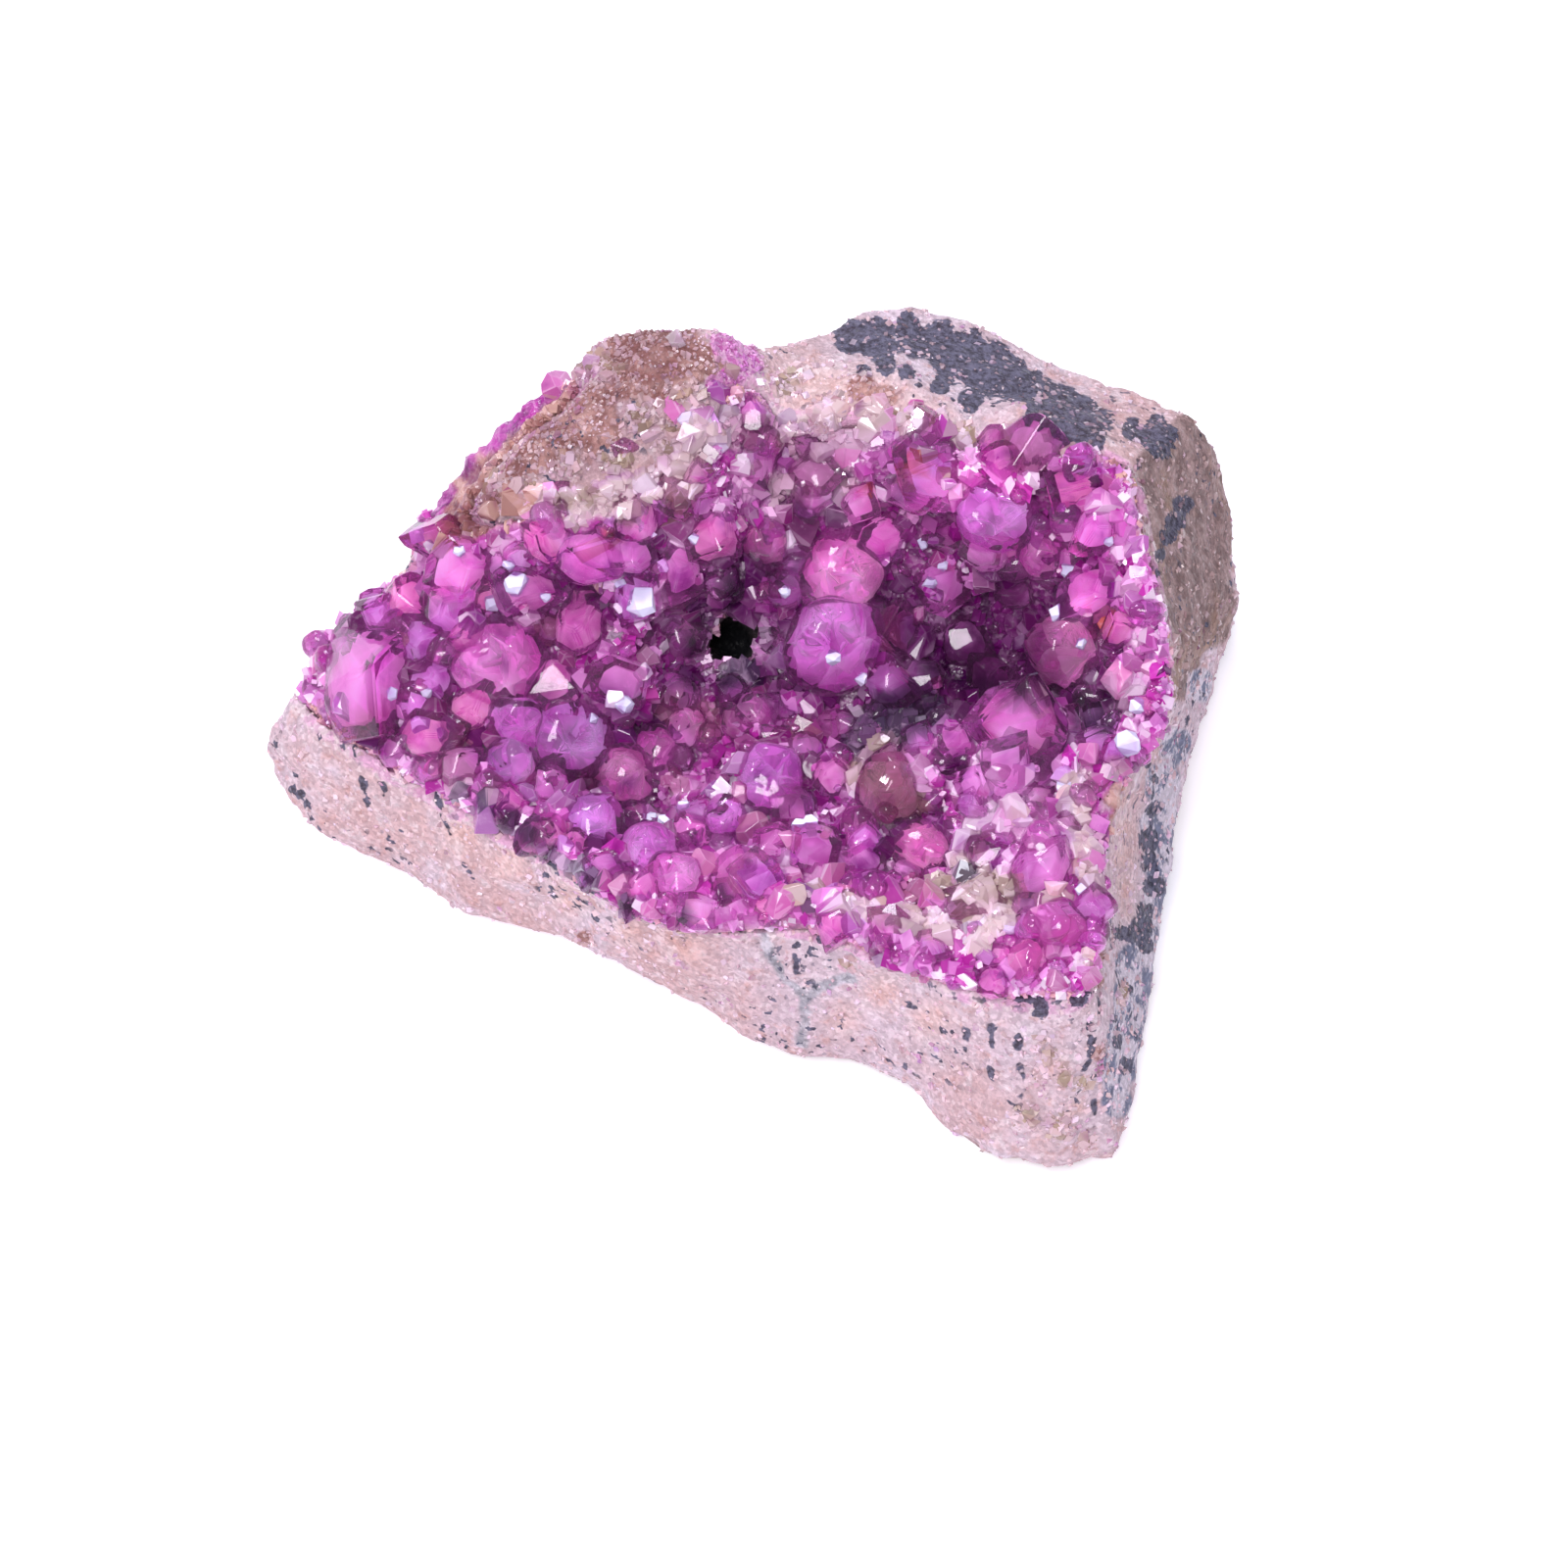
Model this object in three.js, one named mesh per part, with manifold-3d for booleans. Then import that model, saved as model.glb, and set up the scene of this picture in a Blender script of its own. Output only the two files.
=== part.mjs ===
// A cobaltoan calcite specimen: a broken block of sugary, salmon-coloured host rock whose top
// is an open hollow, lined with one crust of rounded magenta calcite crystals.
// Millimetres, +Z up. The origin is the bottom centre of the block, which rests on z = 0.
import * as THREE from "three";
import { ConvexGeometry } from "three/addons/geometries/ConvexGeometry.js";
import { mergeVertices } from "three/addons/utils/BufferGeometryUtils.js";
import Module from "manifold-3d";

const wasm = await Module();
wasm.setup();

// Driving dimensions
const ROCK_CELL = 1.8; // spacing of the grid that carries the bare rock's surface
const FLOOR_CELL = 3.4; // spacing of the grid under the crust
const CRUST_CELL = 2.8; // spacing of the grid of the crust between its crystals
const TERRAIN_FLOOR = -6; // well under the block, so that only the walls bound it below
const WALL_TOP = 40; // well over the block
const CRUST_DEPTH = 3.1; // the crust's thickness in the hollow, crystals included
const CRUST_EDGE = 1.5; // the crust's thickness where it ends
const CRUST_TAPER = 4; // the width over which it thins
const VALLEY_DEPTH = 1.1; // how far the crystals stand out of the crust between them
const RIM_RISE = 0.3; // how far the crust's edge stands above the rock beside it
const WALL_OVERLAP = 0.4; // how far it stands out of the walls, where the hollow is broken open
const GAP = 0.3; // clearance between the crust and the rock

// Points read off the reference picture, in its 1600 by 1600 pixels, are placed in space along
// the line of sight to them. The sight lines start at an eye above the front of the block.
const PICTURE_CENTRE = 800;
const PIXELS_PER_RADIAN = 6667;
const SIGHT_ELEVATION = THREE.MathUtils.degToRad(57);
const SIGHT_DISTANCE = 404;
const SIGHT_TARGET = new THREE.Vector3(1.7, -5.2, 10);

const forward = new THREE.Vector3(0, Math.cos(SIGHT_ELEVATION), -Math.sin(SIGHT_ELEVATION));
const upward = new THREE.Vector3(0, Math.sin(SIGHT_ELEVATION), Math.cos(SIGHT_ELEVATION));
const eye = SIGHT_TARGET.clone().addScaledVector(forward, -SIGHT_DISTANCE);

function sightLine(px, py) {
  return forward
    .clone()
    .multiplyScalar(PIXELS_PER_RADIAN)
    .add(new THREE.Vector3(px - PICTURE_CENTRE, 0, 0))
    .addScaledVector(upward, PICTURE_CENTRE - py)
    .normalize();
}

// The point at height z that the picture shows at pixel (px, py).
function seen(px, py, z) {
  const line = sightLine(px, py);
  return eye.clone().addScaledVector(line, (z - eye.z) / line.z);
}

function smoothstep(low, high, x) {
  const t = Math.min(1, Math.max(0, (x - low) / (high - low)));
  return t * t * (3 - 2 * t);
}

// Repeatable noise from -1 to 1 whose lumps are about size across.
function latticeValue(i, j, k) {
  const s = Math.sin(i * 127.1 + j * 311.7 + k * 74.7) * 43758.5453;
  return 2 * (s - Math.floor(s)) - 1;
}

function noise(x, y, z, size) {
  const cell = [x / size, y / size, z / size];
  const low = cell.map(Math.floor);
  const share = cell.map((c, n) => smoothstep(0, 1, c - low[n]));
  let sum = 0;
  for (let corner = 0; corner < 8; corner++) {
    const step = [corner & 1, (corner >> 1) & 1, (corner >> 2) & 1];
    const weight = step.reduce((w, s, n) => w * (s ? share[n] : 1 - share[n]), 1);
    sum += weight * latticeValue(low[0] + step[0], low[1] + step[1], low[2] + step[2]);
  }
  return sum;
}

// The walls of the block, counterclockwise from its left tip as seen from above. Each station
// has a shoulder, where the top surface ends, and a belly, the wall's widest place: pixel x,
// pixel y and height. The bellies that the picture hides stand out from their shoulders.
const seenWalls = [
  { shoulder: [293, 716, 9.5], belly: [272, 765, 5.5] },
  { shoulder: [326, 744, 10], belly: [288, 806, 3.5] },
  { shoulder: [372, 768, 10.5], belly: [326, 848, 2.5] },
  { shoulder: [432, 792, 11], belly: [400, 876, 2.5] },
  { shoulder: [500, 828, 11.5], belly: [470, 922, 2.5] },
  { shoulder: [565, 868, 12], belly: [545, 948, 2.5] },
  { shoulder: [640, 915, 12.5], belly: [630, 982, 2.5] },
  { shoulder: [700, 938, 13], belly: [702, 1017, 2.5] },
  { shoulder: [765, 934, 13.5], belly: [760, 1050, 2.5] },
  { shoulder: [822, 930, 14], belly: [815, 1069, 2.5] },
  { shoulder: [872, 948, 14.5], belly: [872, 1077, 2.5] },
  { shoulder: [925, 976, 14.7], belly: [935, 1106, 2.5] },
  { shoulder: [975, 992, 15], belly: [975, 1146, 2.5] },
  { shoulder: [1035, 1002, 15.5], belly: [1016, 1180, 2.5] },
  { shoulder: [1085, 1003, 16], belly: [1080, 1188, 2.5] },
  { shoulder: [1112, 996, 16.2], belly: [1141, 1173, 3] },
  { shoulder: [1118, 930, 16.6], belly: [1160, 1085, 3] },
  { shoulder: [1122, 860, 17], belly: [1178, 970, 3.5] },
  { shoulder: [1136, 795, 17.6], belly: [1197, 866, 4] },
  { shoulder: [1166, 748, 18.4], belly: [1214, 778, 4] },
  { shoulder: [1192, 702, 19.4], belly: [1233, 703, 4.5] },
  { shoulder: [1190, 655, 20.6], belly: [1251, 648, 5] },
  { shoulder: [1174, 592, 21.8], belly: [1267, 614, 6] },
  { shoulder: [1160, 532, 22.8], belly: [1259, 570, 8] },
  { shoulder: [1153, 478, 23.4], belly: [1255, 520, 10] },
  { shoulder: [1188, 452, 20.5], belly: [1242, 468, 12.5] },
];
const hiddenWalls = [
  { shoulder: [1220, 430, 16.8], out: 1.5, height: 11 },
  { shoulder: [1162, 402, 17], out: 2.4, height: 9 },
  { shoulder: [1100, 380, 17.5], out: 3.2, height: 6 },
  { shoulder: [1040, 354, 18], out: 2.2, height: 7 },
  { shoulder: [985, 328, 18.5], out: 2.6, height: 8 },
  { shoulder: [935, 312, 19], out: 3.2, height: 6 },
  { shoulder: [880, 317, 19.5], out: 2.2, height: 7 },
  { shoulder: [845, 343, 20.5], out: 3.0, height: 9 },
  { shoulder: [795, 354, 22], out: 3.4, height: 6 },
  { shoulder: [755, 348, 24.5], out: 5.0, height: 8 },
  { shoulder: [700, 333, 26], out: 5.2, height: 10 },
  { shoulder: [650, 335, 25.8], out: 4.2, height: 8 },
  { shoulder: [607, 350, 24.8], out: 5.0, height: 6 },
  { shoulder: [586, 386, 23.4], out: 4.4, height: 7 },
  { shoulder: [551, 412, 22.2], out: 3.8, height: 5.5 },
  { shoulder: [507, 446, 20.6], out: 4.2, height: 7 },
  { shoulder: [474, 484, 18.6], out: 3.4, height: 6 },
  { shoulder: [449, 528, 16.6], out: 3.0, height: 4.5 },
  { shoulder: [414, 580, 14], out: 2.2, height: 5.5 },
  { shoulder: [366, 615, 12.4], out: 1.8, height: 4.5 },
  { shoulder: [336, 645, 11.4], out: 1.6, height: 4.5 },
  { shoulder: [316, 680, 10.4], out: 1.4, height: 5 },
];
const FOOT_INSET = 2.4; // how far the resting face lies inside the belly
const FOOT_WANDER = 1.1; // how much that differs around the block
const WALL_ROUGHNESS = 0.7; // how far the walls' roughness stands out or in

// Heights of the top surface inside the walls, as pixel x, pixel y and height. The hollow is
// deepest under the right lobe and around the small dark pit.
const relief = [
  // The knob at the back left
  [650, 375, 26.6], [720, 380, 26.4], [600, 410, 25], [550, 450, 23.6], [660, 430, 25.6],
  [500, 490, 21.4], [740, 430, 24.6], [620, 480, 23.6], [540, 510, 21.6], [460, 535, 17.8],
  // The back rim and the stained slope behind it
  [800, 385, 23.4], [880, 385, 23.4], [960, 408, 23.6], [1050, 437, 23.8], [1138, 468, 23.6],
  [910, 345, 21], [985, 375, 21.2], [1070, 408, 20.8], [1150, 438, 20.8],
  [820, 440, 22.6], [900, 440, 22.8], [790, 470, 20.8],
  // The crystals in front of the knob
  [690, 510, 22], [620, 530, 21.4], [560, 545, 20.4], [490, 560, 18.6], [725, 550, 19.6],
  [650, 600, 17.6], [580, 590, 18], [500, 620, 16], [460, 650, 14.6], [695, 610, 15.4],
  // The left lobe and its low front rim
  [400, 640, 13.6], [350, 680, 12], [380, 715, 12.4], [430, 710, 12.2], [510, 675, 13.6],
  [570, 660, 14.2], [632, 690, 13.6], [470, 760, 11.8], [400, 745, 11.6], [540, 755, 11],
  // The valley that runs down from the pit to the front rim
  [660, 735, 10], [610, 790, 9.4], [560, 800, 10.6], [660, 830, 9.4], [600, 850, 11.2],
  [700, 870, 11], [660, 895, 12.2], [730, 905, 13],
  // The pit and the ridge to its right
  [748, 600, 15.8], [745, 645, 12.6], [700, 650, 12.4], [750, 700, 10.8], [700, 700, 11],
  [850, 665, 13.4], [860, 590, 15.8], [800, 550, 17], [900, 690, 12], [800, 720, 10.6],
  // The mound in the middle of the front
  [770, 790, 12.4], [730, 780, 11.2], [830, 820, 12.2], [850, 760, 11.2], [790, 860, 13.2],
  // The back wall of the right lobe
  [880, 500, 20.2], [940, 480, 21.6], [1010, 480, 21.8], [1010, 530, 19.6], [930, 550, 17],
  [1090, 500, 21.6], [1070, 560, 18.8], [1130, 560, 20.6], [1130, 640, 18.4], [975, 595, 14.8],
  // The deep recess under it
  [1000, 645, 11.4], [945, 660, 10.8], [1055, 655, 12.2], [1000, 688, 10], [1095, 665, 14.8],
  [1085, 708, 13.4], [1150, 700, 17.6],
  // The thick front wall at the right, with its small pocket
  [1040, 735, 16.4], [975, 735, 12.2], [920, 740, 11], [1120, 755, 16.4], [1000, 790, 15.2],
  [920, 790, 13.8], [1080, 800, 16.4], [870, 840, 13.4], [940, 868, 11.8], [900, 880, 13.6],
  [1000, 850, 15.4], [1060, 880, 16.4], [980, 930, 15.2], [1060, 950, 16], [910, 925, 14.8],
];

const stations = [
  ...seenWalls.map((w) => ({ shoulder: seen(...w.shoulder), belly: seen(...w.belly) })),
  ...hiddenWalls.map((w) => {
    const shoulder = seen(...w.shoulder);
    const outward = new THREE.Vector3(shoulder.x, shoulder.y, 0).normalize();
    const belly = shoulder.clone().addScaledVector(outward, w.out);
    belly.z = w.height;
    return { shoulder, belly };
  }),
];

// The top surface is a smooth sheet through every relief point and every shoulder.
const SHEET_SOFTNESS = 1.2;
const knots = [...relief.map((p) => seen(...p)), ...stations.map((s) => s.shoulder)];

function bump(x, y, knot) {
  return Math.hypot(x - knot.x, y - knot.y, SHEET_SOFTNESS);
}

function solve(matrix, right) {
  const n = right.length;
  for (let column = 0; column < n; column++) {
    let pivot = column;
    for (let row = column + 1; row < n; row++) {
      if (Math.abs(matrix[row][column]) > Math.abs(matrix[pivot][column])) pivot = row;
    }
    [matrix[column], matrix[pivot]] = [matrix[pivot], matrix[column]];
    [right[column], right[pivot]] = [right[pivot], right[column]];
    for (let row = column + 1; row < n; row++) {
      const share = matrix[row][column] / matrix[column][column];
      for (let k = column; k < n; k++) matrix[row][k] -= share * matrix[column][k];
      right[row] -= share * right[column];
    }
  }
  for (let row = n - 1; row >= 0; row--) {
    for (let k = row + 1; k < n; k++) right[row] -= matrix[row][k] * right[k];
    right[row] /= matrix[row][row];
  }
  return right;
}

const knotWeights = solve(
  knots.map((a) => knots.map((b) => bump(a.x, a.y, b))),
  knots.map((a) => a.z),
);

function sheetHeight(x, y) {
  return knots.reduce((z, knot, n) => z + knotWeights[n] * bump(x, y, knot), 0);
}

// The side of the sheet that shows at a pixel: the sight line is walked down until it meets it.
const SIGHT_START = 30; // height over the whole sheet
const SIGHT_STEP = 0.2;

function landOn(px, py) {
  const line = sightLine(px, py);
  const point = seen(px, py, SIGHT_START);
  while (point.z > sheetHeight(point.x, point.y) && point.z > 0) {
    point.addScaledVector(line, SIGHT_STEP);
  }
  return point;
}

// The edge of the crust, clockwise in the picture from the left tip. A third number is the
// height of a point that the picture shows beside the block, or in front of a wall.
const crustEdge = [
  [302, 700, 10.4], [322, 652, 11.2], [366, 612, 12.6], [410, 584], [430, 572], [430, 548, 15],
  [438, 515, 16.6], [466, 472, 18.8], [498, 434, 20.8], [544, 400, 22.3], [578, 378, 23.4],
  [594, 396], [560, 428], [520, 462], [490, 494], [476, 520], [500, 530], [560, 520],
  [620, 510], [672, 490], [706, 466], [730, 430], [746, 392], [772, 396], [790, 432],
  [850, 430], [905, 430], [960, 446], [1010, 448], [1060, 456], [1110, 458], [1146, 472],
  [1158, 490, 23.2], [1167, 535, 22.6], [1182, 594, 21.6], [1198, 655, 20.4], [1200, 706, 19.2],
  [1174, 754, 18.2], [1146, 802, 17.4], [1132, 862, 16.8], [1127, 935, 16.4],
  [1120, 1006, 15.8], [1085, 1012, 15.6], [1030, 1011, 15.2], [970, 1001, 14.8],
  [920, 985, 14.4], [868, 957, 14.2], [822, 939, 13.8], [765, 942, 13.2], [700, 948, 12.6],
  [636, 926, 12.2], [565, 876, 11.6], [500, 837, 11.1], [432, 800, 10.6], [376, 766],
  [330, 740],
].map(([px, py, z]) => (z === undefined ? landOn(px, py) : seen(px, py, z)));

// An outline in plan moved inwards.
function insetOutline(outline, distance) {
  return outline.map((point, n) => {
    const before = outline.at(n - 1);
    const after = outline[(n + 1) % outline.length];
    const inward = new THREE.Vector2(after.y - before.y, before.x - after.x).normalize();
    return new THREE.Vector3(point.x + distance * inward.x, point.y + distance * inward.y, point.z);
  });
}

// How far a point lies inside the crust's edge, in plan. It is negative outside.
function insideEdge(x, y) {
  let nearest = Infinity;
  let inside = false;
  crustEdge.forEach((a, n) => {
    const b = crustEdge[(n + 1) % crustEdge.length];
    const along = ((x - a.x) * (b.x - a.x) + (y - a.y) * (b.y - a.y)) /
      ((b.x - a.x) ** 2 + (b.y - a.y) ** 2);
    const t = Math.min(1, Math.max(0, along));
    nearest = Math.min(nearest, Math.hypot(x - a.x - t * (b.x - a.x), y - a.y - t * (b.y - a.y)));
    if (a.y > y !== b.y > y && x < ((b.x - a.x) * (y - a.y)) / (b.y - a.y) + a.x) inside = !inside;
  });
  return inside ? nearest : -nearest;
}

// The three surfaces of the block's top: bare rock, the floor under the crust, and the crust
// itself between its crystals.
function rockHeight(x, y) {
  const bare = smoothstep(-0.5, -2.5, insideEdge(x, y));
  return sheetHeight(x, y) + bare * (0.45 * noise(x, y, 0, 3.4) + 0.3 * noise(x, y, 9, 1.7));
}

function floorHeight(x, y) {
  const fullness = smoothstep(0, CRUST_TAPER, insideEdge(x, y));
  return sheetHeight(x, y) - CRUST_EDGE - (CRUST_DEPTH - CRUST_EDGE) * fullness;
}

function crustHeight(x, y) {
  const fullness = smoothstep(0, CRUST_TAPER, insideEdge(x, y));
  return sheetHeight(x, y) + RIM_RISE - (RIM_RISE + VALLEY_DEPTH) * fullness;
}

// A closed mesh as a solid, and a solid as a geometry.
function solidFrom(geometry) {
  const bare = geometry.clone();
  bare.deleteAttribute("normal");
  bare.deleteAttribute("uv");
  const merged = mergeVertices(bare, 1e-4);
  const mesh = new wasm.Mesh({
    numProp: 3,
    vertProperties: new Float32Array(merged.attributes.position.array),
    triVerts: new Uint32Array(merged.index.array),
  });
  return new wasm.Manifold(mesh);
}

function geometryFrom(solid) {
  const mesh = solid.getMesh();
  const geometry = new THREE.BufferGeometry();
  geometry.setAttribute("position", new THREE.BufferAttribute(mesh.vertProperties, 3));
  geometry.setIndex(new THREE.BufferAttribute(mesh.triVerts, 1));
  return geometry;
}

// A closed stack of rings, each a list of as many points, from the lowest ring to the highest.
function stack(rings) {
  const count = rings[0].length;
  const middle = (ring) =>
    ring.reduce((sum, p) => sum.add(p), new THREE.Vector3()).divideScalar(count);
  const points = [...rings.flat(), middle(rings[0]), middle(rings.at(-1))];
  const bottom = points.length - 2;
  const top = points.length - 1;
  const faces = [];
  for (let n = 0; n < count; n++) {
    const next = (n + 1) % count;
    faces.push(bottom, next, n);
    for (let level = 0; level + 1 < rings.length; level++) {
      const low = level * count;
      const high = low + count;
      faces.push(low + n, low + next, high + next, low + n, high + next, high + n);
    }
    const last = (rings.length - 1) * count;
    faces.push(top, last + n, last + next);
  }
  const geometry = new THREE.BufferGeometry().setFromPoints(points);
  geometry.setIndex(faces);
  return geometry;
}

// A block whose top has the given height over a square grid, and whose bottom is flat.
function terrain(height, cell, low, high, floor) {
  const columns = Math.ceil((high.x - low.x) / cell);
  const rows = Math.ceil((high.y - low.y) / cell);
  const border = [];
  const points = [];
  for (let j = 0; j <= rows; j++) {
    for (let i = 0; i <= columns; i++) {
      const x = low.x + i * cell;
      const y = low.y + j * cell;
      points.push(new THREE.Vector3(x, y, height(x, y)));
    }
  }
  const tops = points.length;
  const faces = [];
  const at = (i, j) => j * (columns + 1) + i;
  for (let j = 0; j < rows; j++) {
    for (let i = 0; i < columns; i++) {
      const [a, b, c, d] = [at(i, j), at(i + 1, j), at(i + 1, j + 1), at(i, j + 1)];
      const acrossRising = Math.abs(points[a].z - points[c].z) < Math.abs(points[b].z - points[d].z);
      if (acrossRising) faces.push(a, b, c, a, c, d);
      else faces.push(a, b, d, b, c, d);
    }
  }
  for (let i = 0; i < columns; i++) border.push(at(i, 0));
  for (let j = 0; j < rows; j++) border.push(at(columns, j));
  for (let i = columns; i > 0; i--) border.push(at(i, rows));
  for (let j = rows; j > 0; j--) border.push(at(0, j));
  border.forEach((top) => points.push(points[top].clone().setZ(floor)));
  const centre = points.length;
  points.push(new THREE.Vector3((low.x + high.x) / 2, (low.y + high.y) / 2, floor));
  border.forEach((top, n) => {
    const next = (n + 1) % border.length;
    faces.push(top, tops + n, tops + next, top, tops + next, border[next]);
    faces.push(centre, tops + next, tops + n);
  });
  const geometry = new THREE.BufferGeometry().setFromPoints(points);
  geometry.setIndex(faces);
  return geometry;
}

// An upright prism on an outline, taller than the block.
function prism(outline) {
  const shape = new THREE.Shape(outline.map((p) => new THREE.Vector2(p.x, p.y)));
  const geometry = new THREE.ExtrudeGeometry(shape, {
    depth: WALL_TOP - TERRAIN_FLOOR,
    bevelEnabled: false,
  });
  return geometry.translate(0, 0, TERRAIN_FLOOR);
}

// The walls as rings, from the flat resting face up past the top surface, grown outwards.
const WALL_LEVELS = [0.33, 0.66]; // from belly to shoulder

function wallRings(growth) {
  const columns = stations.map(({ shoulder, belly }) => {
    const outward = new THREE.Vector3(belly.x, belly.y, 0).normalize();
    const inset = FOOT_INSET + FOOT_WANDER * noise(belly.x, belly.y, 50, 6);
    const foot = belly.clone().addScaledVector(outward, -inset).setZ(0);
    const rough = (point) => {
      const coarse = noise(point.x, point.y, point.z, 4.5);
      const fine = noise(point.x, point.y, point.z + 70, 2);
      return point.addScaledVector(outward, WALL_ROUGHNESS * (coarse + 0.6 * fine));
    };
    return [
      foot,
      rough(foot.clone().lerp(belly, 0.5).addScaledVector(outward, 0.7)),
      belly.clone(),
      ...WALL_LEVELS.map((level) => rough(belly.clone().lerp(shoulder, level))),
      shoulder.clone(),
      shoulder.clone().setZ(WALL_TOP),
    ].map((point) => point.addScaledVector(outward, growth));
  });
  return columns[0].map((_, level) => columns.map((column) => column[level]));
}

// One calcite crystal: a blunt rhombohedron with domed faces, unit radius, three-fold axis
// along Z. The large ones have their corners cut as well, and the smallest have flat faces.
const APEX = 0.86; // height of the tip
const CORNER_CUT = 0.22; // share of each edge that a cut takes
const FACE_DOME = 1.22; // how far the faces' middles stand out, over flat ones
const DOMED_FROM = 2.1; // the radius from which crystals have domed faces
const CUT_FROM = 2.9; // the radius from which they have cut corners too

function crystalPoints(radius) {
  const corner = (angle, z) => new THREE.Vector3(Math.cos(angle), Math.sin(angle), z);
  const tops = [];
  const lows = [];
  for (let n = 0; n < 3; n++) {
    tops.push(corner((n * 2 * Math.PI) / 3, APEX / 3));
    lows.push(corner((n * 2 * Math.PI) / 3 + Math.PI / 3, -APEX / 3));
  }
  const summit = new THREE.Vector3(0, 0, APEX);
  const root = new THREE.Vector3(0, 0, -APEX);
  const faces = tops.flatMap((top, n) => [
    top.clone().add(tops[(n + 1) % 3]).multiplyScalar(FACE_DOME / 2),
    lows[n].clone().add(lows[(n + 2) % 3]).multiplyScalar(FACE_DOME / 2),
  ]);
  const plain = [summit, root, ...tops, ...lows];
  if (radius < DOMED_FROM) return plain;
  if (radius < CUT_FROM) return [...plain, ...faces];
  const cut = (vertex, neighbours) => neighbours.map((other) => vertex.clone().lerp(other, CORNER_CUT));
  return [
    ...cut(summit, tops),
    ...cut(root, lows),
    ...tops.flatMap((top, n) => cut(top, [summit, lows[n], lows[(n + 2) % 3]])),
    ...lows.flatMap((lowCorner, n) => cut(lowCorner, [root, tops[n], tops[(n + 1) % 3]])),
    ...faces,
  ];
}

// The crystals that stand out, as pixel x, pixel y and radius, with an optional stretch along
// the crystal's own axis.
const crystals = [
  [510, 675, 3.4, 0.9], [372, 702, 3.4], [632, 690, 3.1, 1.2], [590, 640, 2.4, 0.8],
  [725, 545, 2.0, 1.2], [695, 575, 1.8, 1.3], [850, 660, 3.5], [858, 580, 3.2], [1012, 525, 3.4],
  [1095, 665, 3.3], [1040, 738, 2.9, 1.1], [580, 745, 3.2], [525, 740, 2.3], [435, 755, 2.3],
  [470, 785, 1.8], [480, 720, 2.0], [670, 765, 2.1], [785, 795, 2.7], [600, 840, 2.7],
  [660, 872, 2.5], [705, 850, 2.0], [690, 900, 2.5], [635, 790, 2.6], [520, 790, 2.0],
  [560, 795, 1.8], [600, 565, 2.7], [470, 575, 2.7], [460, 615, 2.3], [450, 545, 2.3],
  [650, 530, 2.0], [640, 562, 2.0], [645, 610, 2.3], [560, 545, 2.3], [540, 600, 2.3],
  [945, 480, 2.9], [1030, 480, 3.2], [1100, 490, 2.7], [1120, 535, 2.3], [1060, 565, 2.1],
  [1010, 575, 2.5], [1120, 600, 2.3], [900, 545, 2.0], [880, 510, 1.9], [780, 545, 2.8],
  [790, 600, 2.3], [830, 480, 2.0], [925, 645, 2.3], [905, 695, 1.8], [1030, 790, 2.3],
  [1000, 805, 1.8], [905, 805, 2.5], [940, 868, 2.4], [882, 860, 1.6], [1062, 890, 2.5],
  [1080, 945, 2.3], [1050, 975, 1.7], [975, 755, 1.6], [1125, 755, 1.5], [830, 865, 1.8],
  [755, 895, 2.3], [700, 645, 2.3], [690, 705, 2.0], [700, 740, 1.8], [354, 662, 1.9],
  [395, 632, 2.3], [430, 655, 2.0], [418, 612, 2.0], [480, 650, 2.0], [735, 590, 1.8],
  [960, 590, 2.1], [1150, 640, 1.9], [770, 740, 1.9], [820, 770, 1.9], [850, 790, 1.8],
  [1155, 690, 1.8], [940, 690, 2.0], [1010, 690, 2.1], [1060, 690, 2.0], [985, 650, 2.1],
  [740, 830, 2.0], [560, 855, 1.8], [620, 885, 1.8], [420, 715, 2.0], [440, 690, 1.9],
  [565, 690, 1.9], [1085, 740, 1.8], [690, 505, 1.7], [765, 420, 1.6], [770, 470, 1.9],
  [458, 512, 1.1], [484, 474, 1.2], [518, 438, 1.1], [556, 408, 1.0],
];
const TURN_STEP = THREE.MathUtils.degToRad(137.5); // from one crystal to the next
const LARGEST_TILT = THREE.MathUtils.degToRad(28);
const SINK = 0.25; // how far a crystal's middle lies behind the surface, over its radius

const SLOPE_REACH = 0.8; // how far to each side a slope is measured

function sheetNormal(x, y) {
  const rise = (dx, dy) => sheetHeight(x + dx, y + dy) - sheetHeight(x - dx, y - dy);
  const run = 2 * SLOPE_REACH;
  return new THREE.Vector3(-rise(SLOPE_REACH, 0), -rise(0, SLOPE_REACH), run).normalize();
}

function crystalSolid([px, py, radius, stretch = 1], n) {
  const spot = landOn(px, py);
  const normal = sheetNormal(spot.x, spot.y);
  const centre = spot.addScaledVector(sightLine(px, py), SINK * radius);
  const tilt = LARGEST_TILT * Math.sin(2.4 * n);
  const lean = new THREE.Vector3(Math.cos(5.1 * n), Math.sin(5.1 * n), 0);
  const turn = new THREE.Quaternion().setFromAxisAngle(new THREE.Vector3(0, 0, 1), TURN_STEP * n);
  const stand = new THREE.Quaternion().setFromUnitVectors(new THREE.Vector3(0, 0, 1), normal);
  const tip = new THREE.Quaternion().setFromAxisAngle(lean, tilt);
  const rotation = stand.multiply(tip).multiply(turn);
  const scale = new THREE.Vector3(radius, radius, radius * stretch);
  const place = new THREE.Matrix4().compose(centre, rotation, scale);
  return solidFrom(new ConvexGeometry(crystalPoints(radius)).applyMatrix4(place));
}

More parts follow.
